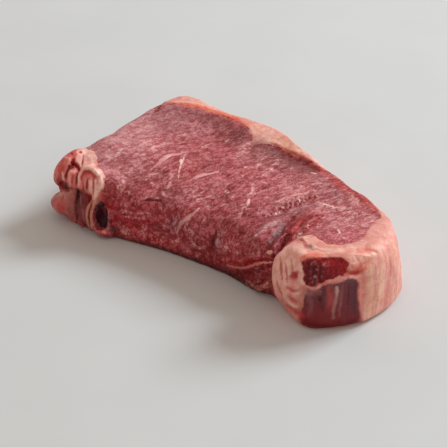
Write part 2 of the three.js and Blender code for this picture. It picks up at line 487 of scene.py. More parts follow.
@dataclass
class TailFolds:
    """The rolls of fat beside the notch, and the flap under the wall next to it."""

    column: Fold = Fold(((54, -40.8, 6), (52.8, -42.8, 12), (52.4, -42.9, 21), (52, -41.4, 28.4),
                         (52.8, -39.6, 31.4), (56, -35, 33.4)), (0.8, 2.5, 2.7, 3.1, 2.8, 1.8))
    flap: Fold = Fold(((33, -35.6, 1.6), (39, -36.4, 3.6), (42.4, -36, 10), (43, -33.6, 16.5)),
                      (0.8, 1.4, 1.5, 0.8))

    def build(self) -> list[bpy.types.Object]:
        """Draws every roll of the tail."""
        return [self.column.build(), self.flap.build()]


TOP, FRONT, BACK, TAIL, SLANT = Side.TOP, Side.FRONT, Side.BACK, Side.TAIL, Side.SLANT

LEAN_OUTLINE = (
    (-120, 30), (-80, 30.5), (-75, 34.5), (-69, 38.5), (-62, 42), (-54, 43.6), (-47, 44.2), (-40, 43.8),
    (-35, 42), (-31, 39.5), (-28, 36.5), (-26, 33.5), (-24.5, 31.6), (-23, 31.4), (-21.6, 33), (-20, 36),
    (-17.5, 38.4), (-12, 39.6), (-2, 38.8), (9, 37.8), (21, 35), (33, 31), (46, 25.2), (59, 18.4),
    (69, 12), (71, 9), (70.5, 4), (73, -3.5), (75.5, -11), (75.5, -15), (74, -19), (71.5, -23.5),
    (67, -26.5), (61, -26), (57, -25), (54, -27), (51.5, -26), (49.5, -31), (48.5, -38), (48, -120),
    (-120, -120),
)
PAD_OUTLINE = (
    (-120, -27), (-84, -27), (-80, -29), (-75, -29), (-71.5, -31.5), (-68, -34.5), (-64.5, -38.5),
    (-61, -40), (-56.5, -42), (-53, -45), (-53, -70), (-120, -70),
)
OVAL_OUTLINE = (
    (22.4, -11.8), (24.6, -10.5), (30.5, -9.8), (35, -9.2), (40.6, -9.9), (42.6, -12), (42.3, -15.9),
    (40.6, -18), (38.4, -17.6), (36, -19.2), (33.6, -19.2), (31.6, -21.2), (29.4, -20.4), (27.2, -22.8),
    (24.6, -21.8), (23.2, -19.4), (23.6, -15.5),
)
SILVER_OUTLINE = (
    (24.4, -24.4), (26.8, -22.9), (29.8, -21.2), (33, -22.4), (36.6, -21.4), (40.2, -20.5), (43.2, -19.6),
    (46.3, -19.5), (47.8, -22), (47.8, -28.8), (49, -34.4), (50.6, -40), (44, -48), (26, -48), (23.4, -37),
    (23.8, -31.4), (24.9, -28),
)


@dataclass
class Markings:
    """The lines and patches of the surface, each in the order in which it is cut and painted."""

    def tints(self) -> list[Mark]:
        """The broad changes of tone of the lean, partly painted light: painted sheen in the pale grey and
        dusty patches, brighter ends where they are lit more, and painted shade along the fat cap.
        """
        bright, dusty_sheen, deep = Paint.BRIGHT_LEAN, Paint.DUSTY_LEAN, Paint.DEEP_LEAN
        brown, grey_sheen = Paint.BROWN_LEAN, Paint.GREY_LEAN
        patch = partial(Patch, TOP, soft=0.9)
        return [
            # Pale greyish patches: partly paler lean, partly painted sheen.
            patch((-74, -2), (19, 36), 8, paint=dusty_sheen, strength=0.69),
            patch((-78, 0), (12, 30), 8, paint=dusty_sheen, strength=0.6),
            patch((-64, -15), (16, 15), 0, paint=dusty_sheen, strength=0.45),
            patch((-62, 22), (17, 11), 15, paint=grey_sheen, strength=0.55),
            patch((28, 15), (18, 13), -20, paint=dusty_sheen, strength=0.5),
            patch((-24, -24), (16, 9), 0, paint=dusty_sheen, strength=0.3),
            # Brighter patches at the broad end and towards the tail: partly brighter lean, partly painted
            # light where the ends are lit more.
            patch((-46, 6), (24, 22), 8, paint=bright, strength=0.4),
            patch((6, 12), (26, 20), -20, paint=bright, strength=0.4),
            patch((36, 8), (22, 15), -20, paint=dusty_sheen, strength=0.69),
            patch((18, 18), (14, 12), -20, paint=bright, strength=0.5),
            patch((59, -4), (21, 22), -20, paint=bright, strength=0.69, soft=0.6),
            patch((56, 2), (14, 10), -20, paint=dusty_sheen, strength=0.5, soft=0.8),
            # Brown patches and the deep line along the fat cap: partly darker lean, partly painted shade in
            # the groove under the fat cap's rim.
            patch((-68, 32), (11, 5), 28, paint=brown, strength=0.5, soft=0.8),
            patch((-52, 37), (8, 5), 8, paint=brown, strength=0.6, soft=0.8),
            patch((-36, 33), (9, 7), -30, paint=brown, strength=0.55, soft=0.8),
            patch((0, 28), (30, 11), -10, paint=brown, strength=0.5),
            patch((-62, 22), (17, 11), 15, paint=brown, strength=0.2),
            patch((28, 15), (18, 11), -20, paint=bright, strength=0.35),
            patch((0, 33), (28, 6.5), -8, paint=brown, strength=0.69, soft=0.7),
            patch((-4, 34), (16, 5), -8, paint=brown, strength=0.65, soft=0.8),
            Line(TOP, ((-20, 32), (-16, 37.5), (-4, 37.2), (10, 35.4), (22, 32)), 2.0, lift=-0.4,
                 paint=deep, strength=0.69, soft=0.7),
            # Pale grey patches: painted sheen.
            patch((-12, 22), (5, 9), 20, paint=grey_sheen, strength=0.3),
            patch((36, 18), (10, 5), -24, paint=grey_sheen, strength=0.45, soft=0.8),
            patch((19, -22), (12, 9), 0, paint=deep, strength=0.4, soft=0.8),
            patch((-8, 41), (24, 9), -8, lift=-1.0, soft=0.3),
            Patch(TAIL, (0, 12), (14, 14), lift=0.8),
            Patch(BACK, (-74, 28), (9, 12), lift=-1.6),
            Patch(SLANT, (40, -43), (26, 8), lift=1.6),
        ]

    def rims(self) -> list[Mark]:
        """The thin films of blood and the tones of fat along the fat cap, with a painted highlight on the fat
        near the wedge.
        """
        rose, crimson, pale, pink = Paint.ROSE, Paint.CRIMSON, Paint.PALE_FAT, Paint.PINK_FAT
        orange, red = Paint.ORANGE_FAT, Paint.RED_FAT
        line = partial(Line, TOP, soft=0.7)
        patch = partial(Patch, TOP)
        return [
            line(((-79, 32), (-71, 38), (-62, 42.8), (-52, 44.8), (-43, 44.8), (-36, 43)), 1.9,
                 paint=orange, strength=0.8, soft=0.8),
            line(((-80, 33), (-72, 39.6), (-63, 44.6), (-53, 47)), 0.7, paint=pale, strength=0.6,
                 soft=0.3),
            line(((-50, 43.6), (-40, 43.2), (-34, 41.2), (-29, 37.4), (-26, 33.4)), 0.6, paint=red,
                 strength=0.6),
            patch((-25, 43), (11, 5), -18, paint=pale, strength=0.6, soft=0.9, fat_only=True),
            # Painted highlight: a bright cream spot on the fat near the wedge.
            patch((-12.4, 39.8), (4.5, 1.6), -8, lift=0.4, paint=Paint.WHITE_FAT, strength=0.8, soft=0.8,
                  fat_only=True),
            line(((-19, 40.6), (-14, 42.2), (-6, 41.6), (4, 40)), 1.6, paint=Paint.CREAM_FAT,
                 strength=0.8, soft=0.8, fat_only=True),
            line(((-16, 39.8), (-8, 40), (2, 39.2), (12, 38)), 0.9, paint=orange, strength=0.65,
                 soft=0.6),
            line(((6, 37.6), (14, 36), (22, 34), (30, 31.6)), 0.8, paint=red, strength=0.8, soft=0.6),
            line(((18, 31), (24, 30), (31, 27.4), (38, 23.6), (46, 19)), 1.9, lift=0.3, paint=rose,
                 strength=0.69),
            line(((22, 31), (28, 29.4), (35, 26)), 0.9, paint=crimson, strength=0.65),
            line(((19, 33), (28, 31), (38, 27.4), (48, 22.6), (58, 16.8), (64, 13)), 2.3, lift=0.3,
                 paint=rose, strength=0.75),
            line(((24, 31.6), (34, 28.4), (44, 24), (54, 18.6)), 1.2, paint=crimson, strength=0.6,
                 soft=0.8),
            line(((4, 40), (14.7, 38.6), (24, 36.2), (37, 31.8), (50, 25.6), (62, 18.6)), 0.9, paint=pale,
                 strength=0.75, soft=0.8),
            line(((-6, 43), (5, 41), (14, 38.4), (20, 36.8)), 1.5, paint=pale, strength=0.85),
            line(((44, 21), (50, 17.6), (57, 13)), 1.2, paint=Paint.MARBLING, strength=0.4, soft=0.9),
            patch((77, 4), (5, 8), 20, paint=pale, strength=0.6, soft=0.8),
            line(((52, 24), (64, 17), (74, 9)), 0.8, paint=pale, strength=0.6, soft=0.6),
            line(((30, 33), (44, 27.4), (56, 20.6), (66, 14.4)), 0.7, paint=red, strength=0.75, soft=0.3),
            patch((17.4, 28.8), (1.6, 0.8), 20, lift=0.4, paint=pale),
            patch((33.5, 28), (0.6, 1.4), -10, lift=0.2, paint=pink, strength=0.8),
            patch((38, 25.4), (0.7, 1.2), -10, lift=0.2, paint=pink, strength=0.8),
        ]

    def top(self) -> list[Mark]:
        """The streaks, seams and pits of the upper cut face."""
        deep, crimson, blood, white = Paint.DEEP_LEAN, Paint.CRIMSON, Paint.BLOOD, Paint.WHITE_FAT
        vein = Paint.MARBLING
        line = partial(Line, TOP)
        patch = partial(Patch, TOP)
        return [
            line(((-26, 32), (-23.5, 26), (-21.5, 20), (-19, 13)), 2.2, paint=vein, strength=0.5,
                 soft=0.9),
            line(((-46, -13.5), (-47.3, -9), (-47, -5), (-44, -0.5)), 1.6, lift=0.25, paint=vein,
                 strength=0.85, soft=0.5),
            line(((-46.4, -12), (-46.4, -8.6), (-46.4, -5)), 0.8, lift=0.2, paint=vein, strength=0.85),
            line(((-44.4, -1), (-43.6, 1.6), (-42, 3.6)), 0.7, paint=vein, strength=0.6),
            line(((-42.4, 2), (-38.2, -5), (-35, -11), (-30.5, -17)), 0.45, lift=0.25, paint=white,
                 strength=0.75),
            line(((-40, -4), (-37.6, -7.5)), 0.6, lift=0.3, paint=white),
            line(((-41, -12), (-36, -16), (-33.5, -19), (-29.5, -25), (-29, -28)), 0.8, paint=vein,
                 strength=0.6),
            line(((-46, -15), (-45.5, -20), (-44.5, -23.5), (-41, -26), (-37, -29)), 0.7, paint=vein,
                 strength=0.6),
            patch((-38.5, -20.5), (4.2, 4.8), 0, lift=0.25, paint=deep, strength=0.45, soft=0.8),
            line(((-25.6, -17.5), (-23.8, -11), (-21.8, -6), (-19, -1)), 1.3, lift=0.25, paint=vein,
                 strength=0.85, soft=0.5),
            line(((-29, -22), (-26, -17), (-24.5, -12)), 1.2, paint=crimson, strength=0.6, soft=0.7),
            line(((-62, -9), (-63.2, -3), (-61, 3.5)), 1.2, lift=0.1, paint=vein, strength=0.69,
                 soft=0.5),
            line(((-62.6, -8), (-63, -5), (-62.4, -2)), 0.8, paint=vein, strength=0.85),
            line(((-57.6, -6), (-57, 0), (-55, 5)), 1.1, lift=0.1, paint=vein, strength=0.69, soft=0.5),
            line(((-66, -27.5), (-65, -24.5), (-66, -19)), 0.5, lift=0.1, paint=white, strength=0.65),
            line(((-68, -28), (-63.4, -26.4)), 0.7, paint=vein, strength=0.55),
            line(((-60, 32), (-58, 27), (-56, 22)), 0.8, paint=vein, strength=0.5),
            line(((-76, 4), (-72.5, 9), (-71, 14)), 0.8, paint=vein, strength=0.4),
            line(((-19, -20), (-14, -24), (-11, -24), (-9, -22), (-8.4, -18.5)), 0.6, paint=vein,
                 strength=0.6),
            line(((-11, -24), (-10.4, -27.5)), 0.55, paint=vein, strength=0.6),
            line(((13, -18), (9.5, -12), (6.5, -6.5), (3.6, -1.5), (1.6, 3)), 0.8, paint=vein,
                 strength=0.6),
            line(((12.4, -16.4), (9.8, -12)), 0.8, lift=0.2, paint=white, strength=0.75),
            line(((7.6, -9), (9, -4), (11.5, 4)), 0.6, paint=vein, strength=0.5),
            line(((-2, 3), (1, 10), (0.5, 18)), 0.8, paint=vein, strength=0.5),
            line(((15, -27), (14, -23), (12.6, -19.5)), 0.8, paint=vein, strength=0.6),
            line(((-14, 30), (-10, 22), (-6, 15), (-3, 8)), 0.8, paint=vein, strength=0.45),
            line(((8.6, 16.4), (12.4, 19.4)), 0.7, lift=0.1, paint=white, strength=0.69),
            line(((-40.6, 12), (-41, 19)), 1.0, paint=vein, strength=0.45),
            line(((-69, -13), (-70, -19)), 0.8, paint=vein, strength=0.45),
            line(((-32, -27), (-27, -31), (-22, -31)), 0.7, paint=vein, strength=0.5),
            line(((-38, 12), (-38.5, 6), (-39.5, 0)), 1.4, lift=-0.3, paint=deep, strength=0.6, soft=0.8),
            line(((-33, -30), (-27, -27.5), (-20, -27)), 1.2, lift=-0.4, paint=deep, strength=0.65,
                 soft=0.8),
            line(((-33, -37), (-28, -35), (-23, -35.4)), 0.6, lift=-0.5, paint=deep, strength=0.65),
            line(((-4, -8), (-2, -15), (3, -20)), 1.4, lift=-0.4, paint=deep, strength=0.6, soft=0.8),
            line(((-30, 8), (-28, 0), (-27, -6)), 1.2, lift=-0.3, paint=deep, strength=0.55, soft=0.8),
            patch((-81, 24), (1.6, 4.6), 18, lift=-1.2, paint=blood, strength=0.9),
            patch((-79, 26.6), (1.2, 2.2), 18, lift=-0.6, paint=crimson, strength=0.9),
            patch((-83.6, -7.5), (1.4, 2.2), 0, lift=-0.8, paint=blood, strength=0.8),
            *self.flecks(),
        ]

    def flecks(self) -> list[Mark]:
        """Short flecks of redder fibre along the grain of the upper face, and small grains: the pale ones
        partly pale bits of fat, partly painted glints.
        """
        draw = np.random.default_rng(41)
        turn = math.radians(74)
        paints = (Paint.DEEP_LEAN, Paint.CRIMSON, Paint.MARBLING)
        clusters = (((-51, -34), (5.5, 5), 46), ((2, -10), (16, 13), 70), ((62, 4), (7, 6), 16))
        marks = []
        for _ in range(250):
            at = np.array([draw.uniform(-82, 40), draw.uniform(-32, 34)])
            aim = turn + draw.normal(0.0, 0.3)
            path = grain_path(at, aim, draw.uniform(0.8, 2.4), draw.normal(0.0, 0.4, 2))
            paint = paints[int(draw.choice(len(paints), p=(0.45, 0.3, 0.25)))]
            marks.append(Line(TOP, path, draw.uniform(0.4, 0.85), lift=draw.normal(0.0, 0.15), paint=paint,
                              strength=draw.uniform(0.3, 0.6), soft=0.7))
        for middle, spread, count in clusters:
            for _ in range(count):
                at = tuple(draw.normal(middle, spread))
                size = draw.uniform(0.22, 0.55)
                # Pale grains: partly pale bits of fat, partly painted glints of the wet surface.
                paint = Paint.DEEP_LEAN if draw.uniform() < 0.3 else Paint.WHITE_FAT
                marks.append(Patch(TOP, at, (size, size * draw.uniform(1.0, 2.0)), draw.uniform(-30, 30),
                                   lift=draw.uniform(-0.1, 0.2), paint=paint,
                                   strength=draw.uniform(0.35, 0.69), soft=0.8))
        return marks

    def torn(self) -> list[Mark]:
        """The two torn bands beside the tail, with the deep seam and the pale ridge between them, painted
        glints along the bands and painted shade in the seam.
        """
        deep, crimson, white, vein = Paint.DEEP_LEAN, Paint.CRIMSON, Paint.WHITE_FAT, Paint.MARBLING
        line = partial(Line, TOP)
        first = ((23.5, -17), (25, -7), (26.4, -1), (29.2, 4.4), (32.6, 11.5))
        second = ((44.5, -23), (45.6, -18), (45.4, -13), (46.2, -8), (47.6, -4))
        return [
            line(((23, -20), *first), 2.0, lift=-0.4, paint=deep, strength=0.69, soft=0.7),
            line(((20, -6), (22.4, 2), (25.4, 8), (29, 14.4)), 1.0, lift=0.4, paint=vein, strength=0.6,
                 soft=0.6),
            line(((23.6, 4.6), (25.6, 8), (27.6, 11.6)), 0.6, lift=0.2, paint=vein),
            *self.ribs(first, 1.2, 0.75, 31),
            # The pale grey ridge: partly pale tissue, partly painted sheen.
            line(((30.5, -33), (30, -27), (30.6, -19), (30, -9), (33.6, -2), (38.4, 5.5)), 2.0, lift=0.5,
                 paint=Paint.GREY_LEAN, strength=0.85, soft=0.8),
            line(((30.6, -30), (31, -22), (31, -12), (34, -4)), 0.9, lift=0.2, paint=vein, strength=0.4,
                 soft=0.8),
            line(((25, -36), (30, -33), (31.4, -27)), 0.8, lift=0.3, paint=vein, strength=0.6),
            # The deep seam: its dark red, with painted shade darkest along the shadow line.
            line(((41, -38), (39.2, -32), (37.4, -25), (35, -15), (34, -9)), 2.8, lift=-1.0,
                 paint=Paint.BLOOD, strength=0.95, soft=0.7),
            line(((39, -34), (37, -25), (35.4, -17)), 1.4, paint=Paint.SHADOW, strength=0.5, soft=0.9),
            line(((42.5, -27), (40.4, -20), (39.4, -12), (41.4, -5.6), (46, -2)), 2.7, lift=0.9,
                 paint=crimson, strength=0.75),
            line(((42, -26), (40, -18), (40, -10)), 1.0, lift=0.3, paint=Paint.ROSE, strength=0.8),
            line(((44.6, -28), *second), 1.8, lift=-0.2, paint=crimson, strength=0.69, soft=0.7),
            *self.ribs(second, 1.2, 1.2, 32),
            *self.ribs(second[:3], 1.7, 1.5, 33),
            # Painted highlights along both bands.
            *self.glints(second, 1.0, 12),
            *self.glints(first, 0.8, 8),
            line(((36, 7), (41, 7), (46, 7), (52.6, 9.8)), 1.4, lift=0.3, paint=vein, strength=0.65,
                 soft=0.7),
            line(((39.6, 7.2), (43, 6.8), (48, 7.6)), 0.6, lift=0.2, paint=white, strength=0.7),
            line(((43, 7), (44, 2), (42.6, -1.6)), 0.6, paint=vein, strength=0.5),
            line(((53, 6.5), (57.8, 11), (63, 9.6), (67.4, 12)), 0.7, paint=vein, strength=0.6),
            line(((60, -10), (64, -14), (69.4, -17.4)), 0.9, lift=0.15, paint=vein, strength=0.6,
                 soft=0.6),
            line(((62.4, -12.4), (65.4, -15)), 0.7, lift=0.15, paint=white, strength=0.7),
            line(((57, -9), (61, -11.6), (66, -11)), 0.6, paint=vein, strength=0.5),
            line(((49, 4), (54, 1), (60, 1.6), (66, 4)), 0.6, paint=vein, strength=0.35),
            line(((50, -3), (54, -6), (56, -11)), 0.6, paint=vein, strength=0.35),
            line(((66, 8), (68, 3), (68.6, -3)), 0.5, paint=vein, strength=0.6),
            Patch(TOP, (60, -19), (7, 4), 20, paint=deep, strength=0.3, soft=0.8),
            line(((47, -29), (51, -27.4), (55, -29), (59, -31.4)), 1.1, lift=0.3, paint=Paint.PALE_FAT),
        ]

    def ribs(self, path: Path, half: float, pitch: float, seed: int) -> list[Mark]:
        """Short raised beads of wet, torn fibre across a band of the upper face.

        Args:
            path: The middle of the band.
            half: Half the length of a bead.
            pitch: How far apart they are.
            seed: The seed of the draw.

        Returns:
            The beads.
        """
        draw = np.random.default_rng(seed)
        spine = Line(TOP, path, 1.0).curve()
        steps = np.linalg.norm(np.diff(spine, axis=0), axis=1)
        place = np.concatenate([[0.0], np.cumsum(steps)])
        beads = []
        for far in np.arange(0.5, place[-1], pitch) + draw.uniform(-0.3, 0.3) * pitch:
            at = np.array([np.interp(far, place, spine[:, axis]) for axis in (0, 1)])
            ahead = np.array([np.interp(far + 1.0, place, spine[:, axis]) for axis in (0, 1)])
            along = (ahead - at) / max(np.linalg.norm(ahead - at), 0.1)
            across = np.array([-along[1], along[0]]) + draw.uniform(-0.5, 0.5) * along
            middle = at + draw.uniform(-1.0, 1.0) * across
            turn = math.degrees(math.atan2(across[1], across[0]))
            size = (draw.uniform(0.5, 1.1) * half, draw.uniform(0.3, 0.45) * pitch + 0.1)
            beads.append(Patch(TOP, tuple(middle), size, turn, lift=draw.uniform(0.2, 1.0), paint=Paint.DEW,
                               strength=draw.uniform(0.4, 0.69), soft=0.7))
        return beads

    def glints(self, path: Path, spread: float, count: int) -> list[Mark]:
        """Painted highlights: pale spots that stand for glints of wet fibre along a band of the upper face.

        Args:
            path: The middle of the band.
            spread: How far they lie beside it.
            count: How many there are.

        Returns:
            The painted glints.
        """
        draw = np.random.default_rng(count)
        spine = Line(TOP, path, 1.0).curve()
        drops = []
        for at in spine[draw.integers(0, len(spine), count)] + draw.normal(0.0, spread, (count, 2)):
            size = draw.uniform(0.28, 0.5)
            drops.append(Patch(TOP, tuple(at), (size, 1.5 * size), draw.uniform(-60, 60), lift=0.5,
                               paint=Paint.GLINT, strength=0.9, soft=0.7))
        return drops

    def front(self) -> list[Mark]:
        """The wall at the front, between the folds of the corner and the notch, with painted shade in its
        slits and hollows, by the undercut and along its foot, and painted sheen in its grey patches.
        """
        deep, grey_sheen, rose, crimson = Paint.DEEP_LEAN, Paint.GREY_LEAN, Paint.ROSE, Paint.CRIMSON
        blood, shadow, pink, tan = Paint.BLOOD, Paint.SHADOW, Paint.PINK_FAT, Paint.TAN_FAT
        vein = Paint.MARBLING
        line = partial(Line, SLANT)
        patch = partial(Patch, SLANT, soft=0.8)
        return [
            Patch(FRONT, (-10, 8), (70, 20), 0, paint=Paint.WALL_LEAN, strength=0.69, soft=0.7),
            Patch(FRONT, (-14, 15), (20, 7), 0, paint=Paint.BROWN_LEAN, strength=0.2, soft=0.9),
            Patch(FRONT, (-38, 16), (16, 6), 0, paint=crimson, strength=0.5, soft=0.9),
            Patch(FRONT, (-34, 7), (14, 4), 0, paint=rose, strength=0.5, soft=0.9),
            Patch(FRONT, (-6, 20), (12, 5), 0, paint=Paint.BRIGHT_LEAN, strength=0.3, soft=0.9),
            Patch(FRONT, (2, 8), (12, 5), 0, paint=deep, strength=0.5, soft=0.9),
            # Painted shade: darker towards the undercut beside the notch.
            Patch(FRONT, (24, 7), (26, 12), 10, paint=blood, strength=0.7, soft=0.9),
            *self.crumbs(),
            line(((-66, 7), (-62, 7.4), (-55, 6.2), (-50, 4.6)), 3.0, paint=crimson, strength=0.65,
                 soft=0.9),
            line(((-71.4, 21), (-70, 18), (-66.4, 14), (-62, 12.6)), 2.2, paint=crimson, strength=0.9,
                 soft=0.8),
            line(((-68.6, 24.6), (-66, 22.4), (-62, 20.4)), 1.8, paint=rose, strength=0.35, soft=0.9),
            line(((-48, 5), (-44, 3), (-41, 0.6)), 1.8, paint=deep, strength=0.6, soft=0.8),
            line(((-66, 11), (-61, 11.6), (-56, 10.4), (-51, 10.6)), 0.7, lift=0.2, paint=vein,
                 strength=0.4),
            line(((-62, 9.4), (-57, 8.6), (-53, 8.4)), 0.6, lift=0.15, paint=vein, strength=0.4),
            line(((-52.6, 16), (-47.8, 17), (-42.6, 16.6)), 0.6, lift=-0.5, paint=deep, strength=0.69),
            line(((-52, 17.4), (-47.8, 18.3), (-43.6, 17.8)), 0.6, lift=0.2, paint=vein, strength=0.35),
            line(((-24, 12.6), (-28.6, 9), (-32.4, 5.8), (-34.8, 1.2)), 0.95, lift=0.3, paint=vein,
                 strength=0.75),
            line(((-28.4, 8), (-29.8, 5.6), (-30.4, 2.6)), 0.7, lift=0.1, paint=vein, strength=0.55),
            line(((-33.4, -3), (-32, -6.4), (-29, -7.4)), 0.8, lift=0.2, paint=vein, strength=0.45),
            # Painted sheen: a grey patch on the wall.
            patch((-35.4, 5), (3.2, 3.6), -20, lift=0.2, paint=grey_sheen, strength=0.6),
            line(((-22.6, 5.6), (-20.8, 8), (-19.4, 9.4)), 0.6, paint=vein, strength=0.45),
            line(((-26, 1.6), (-27.6, -1), (-26.9, -4), (-23.2, -6.2), (-20.2, -5)), 0.8, lift=0.25,
                 paint=vein, strength=0.45, soft=0.6),
            patch((-24, -1.4), (2.4, 3.4), 0, lift=0.3, paint=deep, strength=0.4),
            # Painted shade in a slit, with painted sheen beside it.
            line(((-15.6, 3), (-16.6, -1.6), (-17.8, -6)), 0.7, lift=-0.8, paint=shadow, strength=0.69),
            line(((-14, 1.4), (-14.2, -3.6), (-15, -7.2)), 1.5, lift=0.3, paint=grey_sheen, strength=0.65,
                 soft=0.6),
            patch((-8.2, -5.8), (4.8, 4.6), 0, lift=1.0, paint=rose, strength=0.5),
            line(((-11, -4.4), (-8.6, -3), (-6, -4.6)), 0.7, lift=0.2, paint=vein, strength=0.4),
            line(((-12, -8.6), (-11.4, -5.4), (-9, -7.4)), 0.6, lift=0.1, paint=vein, strength=0.4),
            line(((-14, -10.6), (-11.6, -11.6), (-5, -10.8), (2.8, -9.8), (9.4, -9.8)), 1.0, lift=0.7,
                 paint=rose, strength=0.69),
            line(((-9.4, -12.6), (-4.6, -13.2), (0, -12.9), (5.6, -11.4)), 1.1, lift=-1.4, paint=crimson,
                 strength=0.95),
            line(((-10.4, -14.2), (-3.2, -15.4), (3.4, -13), (10, -11.9)), 0.8, lift=0.8, paint=pink,
                 strength=0.75),
            # Painted shade in the hollows above the flap, over their dark red.
            patch((1.5, -18), (11.5, 3.4), 8, lift=-1.0, paint=blood, strength=0.69, soft=0.7),
            patch((-7, -19.6), (7, 2.6), -25, paint=shadow, strength=0.5),
            line(((-4, -22), (-0.6, -23.6), (4, -24.8), (8.6, -22.2), (10.8, -17.6)), 1.6, lift=0.6,
                 paint=tan, strength=0.65, soft=0.8),
            line(((0, -21.4), (4, -22.6), (7.6, -20.2)), 0.9, lift=-0.7, paint=blood, strength=0.8,
                 soft=0.8),
            line(((-2, -20.6), (1.6, -22.4), (5, -21.4)), 0.7, lift=0.3, paint=tan, strength=0.6),
            line(((4, -17.6), (7.4, -16.4), (10.4, -15)), 0.7, lift=0.3, paint=pink, strength=0.4,
                 soft=0.6),
            patch((9, -7.6), (1.1, 1.1), 0, lift=0.5, paint=pink, soft=0.3),
            # Painted shade along the foot of the wall.
            Line(FRONT, ((-54, 1.2), (-20, 1.0), (20, 1.0), (44, 1.2)), 2.4, paint=shadow, strength=0.75,
                 soft=0.8),
        ]

    def crumbs(self) -> list[Mark]:
        """Small pits, pale grains and short threads of the front wall."""
        draw = np.random.default_rng(53)
        paints = (Paint.DEEP_LEAN, Paint.BLOOD, Paint.MARBLING, Paint.DUSTY_LEAN)
        marks = []
        for _ in range(150):
            at = np.array([draw.uniform(-54, 44), draw.uniform(3, 27)])
            paint = paints[int(draw.integers(len(paints)))]
            turn = draw.normal(0.3, 0.9)
            path = grain_path(at, turn, draw.uniform(0.5, 2.6), draw.normal(0.0, 0.5, 2))
            marks.append(Line(FRONT, path, draw.uniform(0.35, 0.9), lift=draw.normal(0.0, 0.2), paint=paint,
                              strength=draw.uniform(0.25, 0.6), soft=0.8))
        return marks

